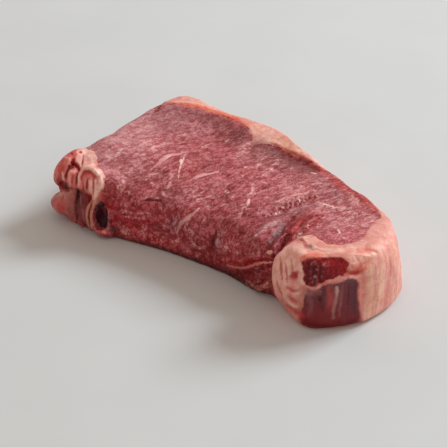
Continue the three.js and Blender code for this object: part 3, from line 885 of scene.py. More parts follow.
    def corner(self) -> list[Mark]:
        """The folds and hollows at the front corner of the broad end, with painted shade in the gaps between
        the folds, in the cavities and at the foot.
        """
        blood, shadow, pale, white = Paint.BLOOD, Paint.SHADOW, Paint.PALE_FAT, Paint.WHITE_FAT
        pink, tan, red, gristle = Paint.PINK_FAT, Paint.TAN_FAT, Paint.RED_FAT, Paint.GRISTLE
        film, mauve = Paint.PALE_SKIN, Paint.MAUVE
        line = partial(Line, SLANT, soft=0.7)
        patch = partial(Patch, SLANT, soft=0.7)
        area = partial(Area, SLANT)
        return [
            area(((-99, 22), (-96, 40), (-88, 44), (-82, 40), (-72, 32), (-70, 24), (-73, 17), (-79, 19),
                  (-85, 20.5), (-90, 22)), paint=pink),
            patch((-86.6, 41), (3.8, 1.9), -10, lift=0.2, paint=red, strength=0.8),
            # Painted shade in a small dent.
            patch((-87.5, 40.2), (0.5, 0.5), 0, lift=-0.5, paint=shadow),
            line(((-91.6, 38.6), (-90, 37.8), (-88.2, 36.8), (-89.7, 33), (-91, 29)), 0.6, lift=0.4,
                 paint=pale, strength=0.8),
            line(((-94.2, 35), (-94.4, 30), (-95, 25)), 0.8, paint=pale, strength=0.35, soft=0.8),
            patch((-92.6, 30), (3.6, 8), 0, paint=red, strength=0.5, soft=0.9),
            patch((-86, 31), (5, 8), 0, paint=pink, strength=0.5, soft=0.9),
            line(((-91.8, 36.6), (-92.2, 32.6), (-93, 28.4)), 1.0, lift=-0.3, paint=red, strength=0.65),
            line(((-95.6, 30), (-96, 26), (-95.6, 22.6)), 0.9, lift=-0.2, paint=red, strength=0.6),
            patch((-84.4, 38.4), (1.6, 2.6), -20, paint=red, strength=0.5, soft=0.8),
            area(((-84.6, 41.4), (-79, 42.6), (-75.6, 40.4), (-76.4, 38.6), (-74.6, 36.6), (-75.6, 34.4),
                  (-77, 33), (-82, 33), (-84.6, 36)), paint=pale, strength=0.8),
            line(((-81.6, 40), (-78.6, 38.4), (-77, 35)), 0.9, lift=0.3, paint=white, strength=0.7),
            patch((-83.2, 41), (0.7, 0.8), 0, lift=-0.8, paint=red),
            line(((-81.8, 39.4), (-82.1, 36), (-81.9, 33)), 0.45, lift=-0.7, paint=gristle),
            # Cut-in blood marks here and below: the dark red of the cavities, with painted shade.
            line(((-86.4, 37), (-87, 34.4), (-88.4, 33), (-89.6, 30.4), (-90, 27.6)), 1.15, lift=-1.7,
                 paint=blood),
            line(((-87.4, 35.8), (-85.4, 34.8), (-83.9, 33.2), (-83.2, 31)), 1.1, lift=-1.5, paint=blood),
            patch((-86.2, 33.8), (1.6, 1.5), 0, lift=-0.6, paint=blood),
            patch((-92.6, 24.6), (2.4, 2.8), -10, lift=-1.8, paint=blood),
            patch((-89.2, 23.4), (2.0, 1.8), 0, lift=-1.4, paint=shadow, strength=0.85),
            line(((-91.8, 30.8), (-91.2, 28.4), (-90.8, 26.6)), 0.45, lift=0.4, paint=pale),
            patch((-87.2, 27.4), (2.3, 3.7), 0, lift=0.5, paint=pink),
            patch((-86.4, 24.6), (2.4, 1.6), 0, paint=red, strength=0.6, soft=0.8),
            line(((-89, 30), (-87.2, 31.2), (-84.8, 31)), 0.6, lift=0.3, paint=pale),
            line(((-88, 30), (-87.9, 26.4), (-87.6, 23.6)), 0.5, lift=0.3, paint=pale, strength=0.8),
            line(((-86.4, 29.6), (-86.2, 26.4), (-86, 23.6)), 0.45, lift=-0.4, paint=red, strength=0.8),
            line(((-84.2, 30.4), (-83.9, 27.4), (-84, 24.2)), 0.65, lift=-1.1, paint=blood),
            line(((-83, 24.6), (-82.9, 28), (-82, 30.7), (-79.7, 32.4), (-77, 32.5), (-74.2, 30.8),
                  (-73.4, 28.6)), 0.9, lift=0.5, paint=pale),
            line(((-81.6, 27), (-80.9, 29.4), (-78.6, 30.8), (-76, 30.2), (-75, 28.4)), 0.75, lift=-0.5,
                 paint=red, strength=0.9),
            line(((-80.2, 25), (-79.5, 27.6), (-77.6, 28.5), (-76, 27.4)), 0.75, lift=0.3, paint=pink),
            line(((-80.8, 25.6), (-80.4, 23), (-79.8, 21.4)), 0.5, lift=-0.4, paint=red, strength=0.8),
            line(((-74.2, 28.8), (-75.6, 26.2), (-75.4, 23)), 0.5, lift=-0.4, paint=red, strength=0.65),
            line(((-78, 27), (-78.5, 24.4), (-78.8, 21.6)), 0.7, lift=-0.9, paint=blood, strength=0.9),
            line(((-76.9, 26), (-76.4, 23.3), (-76.6, 20.6)), 0.9, lift=0.3, paint=pale),
            line(((-81.6, 25), (-81.2, 23), (-80.6, 21.4)), 0.9, lift=0.3, paint=pink),
            line(((-75.4, 32.4), (-73.2, 30.6), (-71.8, 27.6), (-71.3, 24.4), (-72.4, 21.4)), 1.3,
                 lift=0.4, paint=white),
            line(((-74.6, 26), (-73.8, 22.3), (-74, 20), (-75.2, 17)), 1.4, lift=0.2, paint=pale),
            line(((-75.2, 27.6), (-75.2, 24), (-75.4, 20.4)), 0.4, lift=-0.6, paint=gristle),
            # Painted shade in the gap under the lobes and down the crease beside it.
            patch((-84.6, 21.4), (4.6, 1.5), -14, lift=-1.2, paint=shadow, strength=0.95),
            area(((-84.6, 20), (-79.6, 20.4), (-76.4, 17), (-76.6, -2), (-84.4, 2)), paint=mauve,
                 strength=0.9),
            line(((-84, 22), (-84.2, 18), (-84.6, 13.6), (-84.4, 8)), 1.15, lift=-1.7, paint=shadow),
            line(((-82.2, 19), (-81.8, 13), (-80.8, 6)), 0.5, lift=0.3, paint=film, strength=0.6),
            line(((-80.1, 20.6), (-80.2, 16.6), (-80, 13)), 0.45, lift=-0.4, paint=blood, strength=0.8),
            line(((-79.2, 19.6), (-78.2, 17.8), (-78.8, 15)), 1.2, lift=-1.3, paint=blood),
            line(((-75.6, 18), (-77.9, 14.4), (-78.9, 9.6), (-78.6, 4.6)), 0.9, lift=0.4, paint=tan),
            line(((-73.8, 18), (-75.8, 14.3), (-77.1, 9.6), (-77.1, 4.9), (-75.4, 1.4)), 0.85, lift=0.4,
                 paint=tan),
            line(((-76, 16.6), (-77.9, 11.2), (-78, 5)), 0.4, lift=-0.7, paint=Paint.DEEP_LEAN),
            # The oval cavity: dark membrane, with painted shade.
            area(((-74.4, 13.6), (-72.6, 16), (-70.6, 15.2), (-69, 11), (-68.8, 6.4), (-70.6, 3.2),
                  (-73, 3), (-75, 6.4), (-75.4, 10)), 1.6, lift=-2.4, paint=Paint.PLUM),
            line(((-71.2, 13.4), (-70.4, 11.4), (-70, 9)), 0.45, lift=0.2, paint=mauve),
            line(((-68.8, 12.4), (-68.2, 7.4), (-68.5, 3)), 0.55, lift=0.3, paint=film),
            # Painted shade at the foot.
            patch((-66, 2.6), (2.4, 2.0), -30, paint=shadow, strength=0.7, soft=0.6),
            line(((-73.6, 0.8), (-71.4, 1.6), (-69.6, 0.8)), 1.1, lift=0.3, paint=pink),
            area(((-100, 14), (-97.6, 19.6), (-93.6, 21.2), (-89, 22), (-85.4, 22), (-85, 12), (-85.4, 7),
                  (-90, 5), (-98, 8)), paint=gristle, strength=0.95),
            patch((-88.4, 15), (3, 5.4), 0, paint=film, strength=0.5, soft=0.9),
            patch((-94.6, 14.6), (3, 4.6), 0, paint=pink, strength=0.4, soft=0.9),
            line(((-91.4, 20), (-91.8, 16), (-91, 11.4)), 0.6, lift=-0.3, paint=red, strength=0.5),
            line(((-97.4, 18.2), (-93.6, 20), (-89.8, 21), (-86.6, 21)), 0.8, lift=0.2, paint=tan,
                 strength=0.7),
            patch((-93.4, 13.8), (2.2, 2.6), 0, paint=red, strength=0.8),
            line(((-89.9, 19), (-89.5, 16.2), (-89.6, 13.6)), 1.0, paint=Paint.ORANGE_FAT, strength=0.25,
                 soft=0.8),
            line(((-97.6, 12.4), (-94, 9.6), (-89, 8.4)), 0.9, paint=tan, strength=0.5),
        ]

    def tail(self) -> list[Mark]:
        """The fat, the open muscle and the silverskin of the tail, with painted light on the left face of the
        fat and painted shade in the oval, in the folds of the silverskin and at the foot.
        """
        crimson, blood, shadow, pale = Paint.CRIMSON, Paint.BLOOD, Paint.SHADOW, Paint.PALE_FAT
        pink, orange, red, film = Paint.PINK_FAT, Paint.ORANGE_FAT, Paint.RED_FAT, Paint.PALE_SKIN
        plum = Paint.PLUM
        line = partial(Line, SLANT)
        patch = partial(Patch, SLANT, soft=0.9)
        return [
            # Painted light: the fat on the tail's left face made paler, as if more lit.
            patch((15, -15), (9, 17), 0, paint=pale, strength=0.8, fat_only=True),
            patch((20.5, -24), (3, 6), 0, paint=pink, strength=0.45, fat_only=True),
            patch((20, -5), (8, 4), 10, paint=pale, strength=0.6, fat_only=True),
            patch((52, -12), (8, 8), 0, paint=pale, strength=0.4, fat_only=True),
            Area(SLANT, SILVER_OUTLINE, 1.4, lift=-0.5, paint=Paint.SILVERSKIN, soft=0.5),
            # Painted shade: darker towards the bottom of the silverskin.
            patch((33, -36), (12, 6), 0, paint=blood, strength=0.6),
            Area(SLANT, OVAL_OUTLINE, 1.2, lift=-1.0, paint=blood, soft=0.5),
            patch((38, -13.6), (5, 4.4), 0, paint=crimson, strength=0.6, soft=0.8),
            # Painted shade in the oval of open muscle.
            patch((29, -17.4), (5, 3.4), 20, paint=shadow, strength=0.45),
            *self.strands(),
            *self.bristles(),
            line(((23.6, -21.6), (27.2, -23.6), (31.4, -21.6), (33.6, -20), (36.4, -20), (40.8, -18.8),
                  (44.4, -17.6), (47.4, -18)), 0.6, lift=0.6, paint=pink, strength=0.9),
            line(((35, -19.6), (38.4, -19), (42, -18.2)), 0.4, lift=0.3, paint=pale, strength=0.7),
            line(((24.6, -22.4), (28, -23.4), (31, -22.2)), 0.6, lift=0.2, paint=pale, strength=0.6),
            line(((21.6, -9.8), (26.6, -8.6), (31.6, -8.2)), 1.3, lift=0.6, paint=orange, strength=0.69,
                 soft=0.5),
            line(((22, -11), (27, -10.2), (31.4, -9.8)), 0.6, lift=-0.3, paint=red, strength=0.69),
            line(((24.4, -4), (28, -5), (32, -6.6), (39, -6.4), (47, -5.4)), 0.5, lift=0.4, paint=pale),
            patch((26.6, -4.9), (1.6, 0.7), -10, lift=-0.5, paint=film, strength=0.9, soft=0.3),
            patch((28.4, -4.6), (0.6, 0.5), 0, lift=0.3, paint=Paint.WHITE_FAT, soft=0.3),
            line(((20, -2), (22.8, -2), (24.8, -3.4)), 0.5, lift=-0.4, paint=red, strength=0.7),
            patch((20.4, -17.6), (3.2, 1.8), 15, lift=-0.8, paint=crimson, strength=0.95, soft=0.6),
            line(((42.6, -16), (45.8, -16.2), (49, -15.2)), 1.4, lift=-0.9, paint=red, strength=0.9,
                 soft=0.7),
            line(((44, -16.6), (47, -16.6), (50, -15)), 0.6, paint=crimson, strength=0.7, soft=0.8),
            line(((43.6, -18.2), (47, -18.4), (50.4, -16.6), (51.6, -13.6)), 0.7, lift=0.5, paint=pale,
                 strength=0.8, soft=0.7),
            line(((44, -12), (46, -12.6), (48, -11.4), (49, -9.6)), 0.5, lift=0.3, paint=pale,
                 strength=0.6),
            line(((44.2, -13.8), (46.8, -14.6), (49.4, -12.6), (52, -11.6)), 0.7, lift=-0.3, paint=orange,
                 strength=0.65),
            line(((49, -15), (51.6, -13.8), (52.6, -11)), 0.6, paint=orange, strength=0.7),
            line(((47.6, -7), (52.3, -6.4), (56.4, -7.4)), 1.0, lift=-0.5, paint=orange, strength=0.7,
                 soft=0.8),
            line(((44, -8.4), (49, -8.6), (54, -9.4)), 0.9, lift=0.3, paint=pale, strength=0.5, soft=0.9),
            line(((51.4, -10), (54, -8.4), (55.6, -9.4)), 0.6, lift=0.3, paint=pale, strength=0.8),
            line(((24.4, -25.8), (27, -24.8), (30, -24.8)), 1.6, lift=0.2, paint=film, strength=0.65,
                 soft=0.8),
            line(((26, -27), (27, -31), (26.4, -36)), 1.2, paint=film, strength=0.25, soft=0.9),
            # Painted shade in a fold of the silverskin.
            line(((30.4, -26.6), (31, -29.4)), 0.8, lift=-0.6, paint=shadow, strength=0.8),
            line(((34.2, -22.6), (35.4, -26.8), (35.2, -31.6)), 1.2, paint=red, strength=0.5, soft=0.6),
            line(((38.3, -22.6), (38.2, -27.3), (37.5, -31.4), (37.1, -37)), 0.8, lift=0.3, paint=pale,
                 strength=0.3, soft=0.9),
            line(((38.4, -22.6), (38.2, -26)), 0.9, paint=pale, strength=0.4, soft=0.9),
            patch((35.6, -27), (2.2, 5), 0, paint=Paint.ROSE, strength=0.35),
            line(((40.6, -22), (40.4, -29), (40, -36)), 0.7, lift=0.15, paint=film, strength=0.4,
                 soft=0.8),
            # Painted shade between the folds of the silverskin.
            line(((32.6, -22), (32.4, -27), (32, -33)), 1.2, paint=shadow, strength=0.4, soft=0.9),
            line(((42, -21), (42, -27), (42.2, -33)), 1.0, paint=blood, strength=0.4, soft=0.9),
            line(((43.6, -21.4), (43.6, -28), (43.8, -34)), 0.5, lift=-0.2, paint=plum, strength=0.5),
            line(((46, -21), (46.2, -29), (47, -36)), 1.0, lift=-0.2, paint=plum, strength=0.4, soft=0.8),
            # Painted shade: the foot of the tail, dark red darkening to near black at the bottom.
            Area(SLANT, ((22, -35.4), (27, -37.4), (34, -38.6), (43, -37.6), (50, -35), (53, -46),
                         (22, -46)), 1.8, paint=blood, strength=0.69, soft=0.9),
            line(((24, -38.6), (33.7, -41), (43, -40), (49, -38)), 1.4, paint=shadow, strength=0.5,
                 soft=0.9),
            line(((48.4, -20), (48.8, -26), (49.4, -32), (51, -37)), 0.8, lift=0.3, paint=pink,
                 strength=0.5, soft=0.7),
            line(((13.4, -9.6), (13.7, -14), (14.2, -19.6)), 0.5, lift=-0.7, paint=red, strength=0.6),
            line(((15.6, -12.4), (16, -16.4), (16.4, -21)), 0.5, lift=-0.7, paint=red, strength=0.65),
            line(((14.6, -11), (15, -15), (15.4, -20)), 0.5, lift=0.4, paint=pale, strength=0.5),
            line(((18, -10), (18.6, -14), (18.4, -17)), 0.5, lift=-0.4, paint=red, strength=0.5),
            line(((16.8, -11), (17.2, -15), (17.4, -19)), 0.5, lift=0.4, paint=pale, strength=0.5),
            line(((21.8, -12.6), (22.4, -16), (22.4, -19.4), (23.6, -22.6)), 0.6, lift=0.4, paint=pale,
                 strength=0.8),
            line(((16.6, -23.4), (19, -25), (21.6, -24.2)), 0.8, lift=-0.7, paint=red, strength=0.7,
                 soft=0.8),
            line(((16.8, -24.8), (19, -26.4), (21.4, -25.8)), 0.7, lift=0.5, paint=pale, strength=0.7,
                 soft=0.8),
            line(((17.6, -27.4), (19.7, -29.2), (21.6, -30.4)), 0.9, lift=-0.7, paint=red, strength=0.7,
                 soft=0.8),
            line(((16.8, -29.4), (18.8, -31.4), (21, -32.4)), 0.7, lift=0.5, paint=pale, strength=0.7,
                 soft=0.8),
            line(((17, -31.8), (20.2, -34.2), (23.6, -36.4)), 1.4, lift=-0.5, paint=red, strength=0.8,
                 soft=0.7),
            line(((21.6, -24.4), (24, -23), (22.4, -29), (23, -32)), 0.7, lift=0.3, paint=Paint.TAN_FAT,
                 strength=0.8),
            line(((12.2, -27), (14.3, -30.7), (17.3, -33.8), (20, -36.6)), 1.5, paint=pink, strength=0.6,
                 soft=0.7),
            line(((11.6, -20), (13, -24), (14.4, -27)), 0.6, lift=-0.4, paint=red, strength=0.5),
            *self.columns(),
        ]

    def strands(self) -> list[Mark]:
        """The upright strands of the open muscle on the tail, a little paler and darker by turns; the darkest
        are painted shade between strands.
        """
        draw = np.random.default_rng(17)
        paints = (Paint.CRIMSON, Paint.SHADOW, Paint.ROSE)
        lines = []
        for across in np.arange(25.0, 42.5, 0.95):
            low = -19.5 if across > 31 else -21.5
            path = ((across, draw.uniform(-12.6, -10.6)), (across + draw.normal(0, 0.25), low))
            paint = paints[int(draw.choice(len(paints), p=(0.45, 0.35, 0.2)))]
            lines.append(Line(SLANT, path, 0.5, lift=draw.uniform(0.1, 0.4), paint=paint,
                              strength=draw.uniform(0.2, 0.45), soft=0.7))
        return lines

    def bristles(self) -> list[Mark]:
        """Dusty ends of fibre, pits darkened with painted shade, and a few painted glints on the left half of
        the open muscle on the tail.
        """
        draw = np.random.default_rng(61)
        paints = (Paint.DUSTY_LEAN, Paint.GLINT, Paint.SHADOW)
        marks = []
        for _ in range(46):
            at = (draw.uniform(24, 34), draw.uniform(-20.5, -11.5))
            size = draw.uniform(0.25, 0.55)
            paint = paints[int(draw.choice(len(paints), p=(0.55, 0.05, 0.4)))]
            marks.append(Patch(SLANT, at, (size, size * draw.uniform(1.0, 2.2)), draw.uniform(-20, 20),
                               lift=draw.uniform(-0.3, 0.4), paint=paint, strength=draw.uniform(0.15, 0.4),
                               soft=0.8))
        return marks

    def columns(self) -> list[Mark]:
        """The upright columns of cream and pink fat round the right end of the tail."""
        cream, pink, pale = Paint.CREAM_FAT, Paint.PINK_FAT, Paint.PALE_FAT
        columns = ((-25.6, 1.0, pink, 0.35), (-22, 1.8, cream, 0.6), (-18.6, 1.2, pale, 0.4),
                   (-15.4, 1.5, cream, 0.5), (-12, 0.9, pink, 0.3), (-8.8, 1.4, pink, 0.4),
                   (-5.2, 0.8, pale, 0.5), (-2, 1.3, pale, 0.6), (3.4, 2.0, pink, 0.4), (7, 1.4, pale, 0.5),
                   (11, 2.4, pink, 0.35))
        draw = np.random.default_rng(23)
        lines = []
        for across, width, paint, strength in columns:
            lean = draw.normal(0.0, 0.5)
            path = ((across - lean, 36.5), (across, 24), (across + lean, 12), (across + 1.5 * lean, 2))
            lines.append(Line(TAIL, path, width, lift=0.18 if paint is not pink else -0.22, paint=paint,
                              strength=strength, soft=0.7))
        return lines

    def back(self) -> list[Mark]:
        """Smears of blood and seams on the outside of the fat cap, which nothing else marks."""
        draw = np.random.default_rng(29)
        paints = (Paint.PINK_FAT, Paint.CREAM_FAT, Paint.RED_FAT, Paint.PALE_FAT)
        lines = [Patch(BACK, (16, 15), (16, 22), lift=-1.2), Patch(BACK, (-26, 15), (12, 22), lift=0.8),
                 Patch(BACK, (50, 15), (14, 22), lift=-0.8)]
        for _ in range(26):
            start = np.array([draw.uniform(-62, 84), draw.uniform(3, 27)])
            turn = draw.normal(0.0, 0.35)
            step = draw.uniform(3, 9) * np.array([math.cos(turn), math.sin(turn)])
            path = (tuple(start), tuple(start + step), tuple(start + 2 * step + draw.normal(0, 1.0, 2)))
            paint = paints[int(draw.integers(len(paints)))]
            lines.append(Line(BACK, path, draw.uniform(0.5, 1.6), lift=draw.normal(0.0, 0.2), paint=paint,
                              strength=draw.uniform(0.25, 0.6), soft=0.8))
        return lines

    def all(self) -> list[Mark]:
        """Every marking of the steak in order."""
        return [*self.tints(), *self.rims(), *self.top(), *self.torn(), *self.front(), *self.corner(),
                *self.tail(), *self.back()]


@dataclass
class Steak:
    """The whole steak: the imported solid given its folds, furrows and grain, and painted.

    Attributes:
        body_voxel: The size of the cells in which the body's facets are smoothed away.
        body_soften: How often the body is smoothed.
        voxel: The size of the cells that the folds are joined by.
        soften: How often the joined surface is smoothed.
        triangles: How many triangles the finished mesh has.
        seed: The seed of the lumps and furrows.
        lump_size: The wavelengths of the slow lumps.
        lump_height: How high they are.
        fibre_size: The wavelengths of the bundles of fibre.
        fibre_height: How high these are, twice as high near the notch.
        seam_size: The wavelengths of the seams in the fat.
        seam_height: How high these are.
        fat_step: How far the fat stands above the lean.
        groove: How deep the groove between the two is.
    """

    body_voxel: float = 0.9
    body_soften: int = 7
    voxel: float = 0.5
    soften: int = 3
    triangles: int = 196_000
    seed: int = 11
    lump_size: Triple = (7.0, 11.0, 7.0)
    lump_height: float = 0.2
    fibre_size: Triple = (1.6, 3.6, 2.0)
    fibre_height: float = 0.14
    seam_size: Triple = (2.4, 2.4, 9.0)
    seam_height: float = 0.12
    fat_step: float = 0.3
    groove: float = 0.25

    def build(self, node: str) -> bpy.types.Object:
        """Models and paints the steak.

        Args:
            node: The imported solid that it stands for.

        Returns:
            The finished piece.
        """
        low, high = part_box(node)
        steak = self._copy(node)
        self._remesh(steak, self.body_voxel, self.body_soften)
        self._join(steak, CornerFolds().build() + TailFolds().build())
        self._remesh(steak, self.voxel, self.soften)
        self._sculpt(steak)
        self._thin(steak)
        self._keep_in(steak, low, high)
        self._paint(steak)
        steak.data.materials.clear()
        steak.data.materials.append(RawBeef().build())
        return steak

    def _copy(self, node: str) -> bpy.types.Object:
        """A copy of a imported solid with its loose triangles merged."""
        bpy.ops.object.select_all(action="DESELECT")
        solid = bpy.data.objects[node]
        solid.select_set(True)
        bpy.context.view_layer.objects.active = solid
        bpy.ops.object.duplicate()
        copy = bpy.context.object
        copy.parent = None
        for key in [key for key in copy.keys() if key.startswith("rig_")]:
            del copy[key]
        copy.name = copy.data.name = "raw_steak"
        bpy.ops.object.mode_set(mode="EDIT")
        bpy.ops.mesh.select_all(action="SELECT")
        bpy.ops.mesh.remove_doubles(threshold=0.002 * MM)
        bpy.ops.object.mode_set(mode="OBJECT")
        return copy

    def _join(self, steak: bpy.types.Object, folds: list[bpy.types.Object]) -> None:
        """Joins the folds to the steak's mesh."""
        bpy.ops.object.select_all(action="DESELECT")
        for piece in (*folds, steak):
            piece.select_set(True)
        bpy.context.view_layer.objects.active = steak
        bpy.ops.object.join()

    def _apply(self, steak: bpy.types.Object, kind: str, **settings: object) -> None:
        """Adds a modifier with its settings and applies it."""
        bpy.context.view_layer.objects.active = steak
        modifier = steak.modifiers.new(kind.title(), kind)
        for key, value in settings.items():
            setattr(modifier, key, value)
        bpy.ops.object.modifier_apply(modifier=modifier.name)

    def _remesh(self, steak: bpy.types.Object, voxel: float, soften: int) -> None:
        """Makes one closed surface of the joined meshes and smooths it."""
        self._apply(steak, "REMESH", mode="VOXEL", voxel_size=voxel * MM)
        self._apply(steak, "SMOOTH", factor=0.5, iterations=soften)

    def _skin(self, steak: bpy.types.Object) -> Skin:
        """Reads the surface's points and normals."""
        count = len(steak.data.vertices)
        points, normals = np.zeros(3 * count), np.zeros(3 * count)
        steak.data.vertices.foreach_get("co", points)
        steak.data.vertex_normals.foreach_get("vector", normals)
        return Skin(points.reshape(-1, 3) / MM, normals.reshape(-1, 3))

    def _move(self, steak: bpy.types.Object, points: np.ndarray) -> None:
        """Puts the surface's points at new places, given in millimetres."""
        steak.data.vertices.foreach_set("co", (points * MM).ravel())
        steak.data.update()

    def _sculpt(self, steak: bpy.types.Object) -> None:
        """Cuts and raises the markings, and adds lumps and fibres."""
        skin = self._skin(steak)
        waves = Waves(self.seed)
        points = skin.points
        above = smooth_step(0.3, 3.0, points[:, 2])
        inside = inside_outline(points[:, :2], LEAN_OUTLINE)
        lean = smooth_step(-0.4, 0.4, inside)
        lift = self.lump_height * waves.rough(points, self.lump_size, 2)
        coarse = self.fibre_height + self.fibre_height * hill(points, (8, -22), (30, 14))
        lift += lean * coarse * waves.rough(points, self.fibre_size, 3)
        lift += (1.0 - lean) * self.seam_height * waves.rough(points, self.seam_size, 2)
        lift += self.fat_step * (1.0 - lean) - self.groove * np.exp(-((inside + 0.2) / 0.6) ** 2)
        for mark in Markings().all():
            if mark.lift:
                lift += mark.rise(skin)
        self._move(steak, points + skin.normals * (lift * above)[:, None])

    def _thin(self, steak: bpy.types.Object) -> None:
        """Thins the triangles to the wanted number, except where the corner and tail have fine folds."""
        points = self._skin(steak).points
        corner = (points[:, 0] < -49) & (points[:, 1] < -26) & (points[:, 2] > 0.5)
        tail = (points[:, 0] > 44) & (points[:, 1] < -20) & (points[:, 2] > 0.5)
        plain = steak.vertex_groups.new(name="plain")
        plain.add(np.flatnonzero(~(corner | tail)).tolist(), 1.0, "REPLACE")
        count = sum(len(face.vertices) - 2 for face in steak.data.polygons)
        self._apply(steak, "DECIMATE", ratio=min(1.0, self.triangles / count), vertex_group=plain.name,
                    use_collapse_triangulate=True)
        steak.vertex_groups.clear()

    def _keep_in(self, steak: bpy.types.Object, low: Vector, high: Vector) -> None:
        """Keeps the surface in the box of the solid."""
        points = self._skin(steak).points
        self._move(steak, np.clip(points, np.array(low) / MM, np.array(high) / MM))
        bpy.ops.object.select_all(action="DESELECT")
        steak.select_set(True)
        bpy.ops.object.shade_smooth()

    def _paint(self, steak: bpy.types.Object) -> None:
        """Stores what the flesh is made of at each point of the surface."""
        canvas = Canvas(self._skin(steak), Waves(self.seed + 1))
        canvas.cover()
        for mark in Markings().all():
            if mark.paint:
                canvas.draw(mark)
        canvas.store(steak.data)


class Canvas:
    """The paint on the steak's surface, in two layers: flesh below and fat above, with the fat's border."""

    BORDER = 3.0
    SOLID = 0.7

    def __init__(self, skin: Skin, waves: Waves) -> None:
        """Starts with lean all over.

        Args:
            skin: The surface.
            waves: What the edges of the paint stray by.
        """
        self.skin, self.waves = skin, waves
        count = len(skin.points)
        self.flesh = np.tile(Paint.LEAN.value[0], (count, 1))
        self.fat = np.tile(Paint.FAT.value[0], (count, 1))
        self.wet = np.full(count, Paint.LEAN.value[2])
        self.edge = np.full(count, -self.BORDER)
        size = (2.2, 2.2, 2.2)
        strays = [waves.rough(skin.points + shift, size, 3) for shift in (0, 50)]
        self.stray = 0.6 * np.stack(strays, axis=1)

    def lay(self, layer: np.ndarray, mask: np.ndarray, colour: np.ndarray | Triple) -> None:
        """Covers one layer with a colour as far as the mask says, from 0 to 1."""
        layer += np.clip(mask, 0.0, 1.0)[:, None] * (np.array(colour) - layer)

    def draw(self, mark: Mark) -> None:
        """Paints one marking. A strong one hides what is below and has a border; a weak one tints it."""
        inside = mark.inside(self.skin, self.stray * min(1.0, 0.35 + 0.4 * mark.girth))
        facing = self.skin.facing(mark.side)
        fade = mark.soft * mark.girth
        mask = smooth_step(-fade, fade, inside) * facing
        colour, is_fat, wet = mark.paint.value
        solid = mark.strength >= self.SOLID and mark.soft < 0.6
        if is_fat and solid:
            ground = np.where(self.edge[:, None] > 0, self.fat, self.flesh)
            near = smooth_step(-fade - 0.7, -0.1, inside) * facing
            self.lay(self.fat, near, ground + mark.strength * (np.array(colour) - ground))
            self.edge = np.maximum(self.edge, np.where(facing > 0.3, inside, -self.BORDER))
        else:
            if not mark.fat_only:
                self.lay(self.flesh, mark.strength * mask, colour)
            self.lay(self.fat, mark.strength * mask, colour)
            if solid:
                self.edge = np.minimum(self.edge, np.where(facing > 0.3, -inside, self.BORDER))
        self.wet += mark.strength * mask * (wet - self.wet)

    def cover(self) -> None:
        """Lays the lean, the fat cap, the fat of the tail and the pad at the corner."""
        points, waves = self.skin.points, self.waves
        plan = points[:, :2] + self.stray
        mottle = waves.rough(points, (9.0, 14.0, 9.0), 3)
        self.lay(self.flesh, 0.5 * smooth_step(0.0, 1.0, mottle), Paint.DEEP_LEAN.value[0])
        self.lay(self.flesh, 0.4 * smooth_step(0.0, 1.0, -mottle), Paint.BRIGHT_LEAN.value[0])
        cloud = waves.rough(points + 90.0, (8.0, 8.0, 12.0), 3)
        self.lay(self.fat, 0.7 * smooth_step(0.1, 0.9, cloud), Paint.PALE_FAT.value[0])
        self.lay(self.fat, 0.6 * smooth_step(0.1, 0.9, -cloud), Paint.CREAM_FAT.value[0])
        pad = np.minimum(inside_outline(plan, PAD_OUTLINE), points[:, 2] - 17.0)
        border = np.maximum(-inside_outline(plan, LEAN_OUTLINE), pad)
        self.edge = np.clip(border, -self.BORDER, self.BORDER)

    def store(self, mesh: bpy.types.Mesh) -> None:
        """Writes the paint to the mesh as attributes that the material reads."""
        for name, layer in (("flesh", self.flesh), ("fat", self.fat)):
            paint = mesh.attributes.new(name, "FLOAT_COLOR", "POINT")
            colour = np.hstack([layer, np.ones((len(layer), 1))])
            paint.data.foreach_set("color", colour.astype(np.float32).ravel())
        edge = np.clip(self.edge, -self.BORDER, self.BORDER)
        for name, values in (("edge", edge), ("wet", self.wet), ("threads", self._threads()),
                             ("contrast", self._contrast())):
            attribute = mesh.attributes.new(name, "FLOAT", "POINT")
            attribute.data.foreach_set("value", values.astype(np.float32))

    def _threads(self) -> np.ndarray:
        """How thickly the finest marbling runs at each point, from 0 to 1."""
        points = self.skin.points
        share = 0.4 + 0.35 * hill(points, (0, -14), (34, 20)) + 0.6 * hill(points, (-50, -36), (9, 7))
        lean = smooth_step(-0.5, 1.0, inside_outline(points[:, :2], LEAN_OUTLINE))
        high = 0.15 + 0.85 * smooth_step(17.0, 26.0, points[:, 2])
        return lean * high * np.clip(share, 0, 1)

    def _contrast(self) -> np.ndarray:
        """How strong the fibres' light and dark is: calm at the broad end, strong in the front wall."""
        points = self.skin.points
        calm = np.exp(-((points[:, 0] + 74) / 18) ** 2)
        wall = self.skin.facing(Side.FRONT) * smooth_step(28.0, 22.0, points[:, 2])
        return 1.0 - 0.5 * calm + 0.35 * hill(points, (-10, -22), (34, 14)) + 0.8 * wall


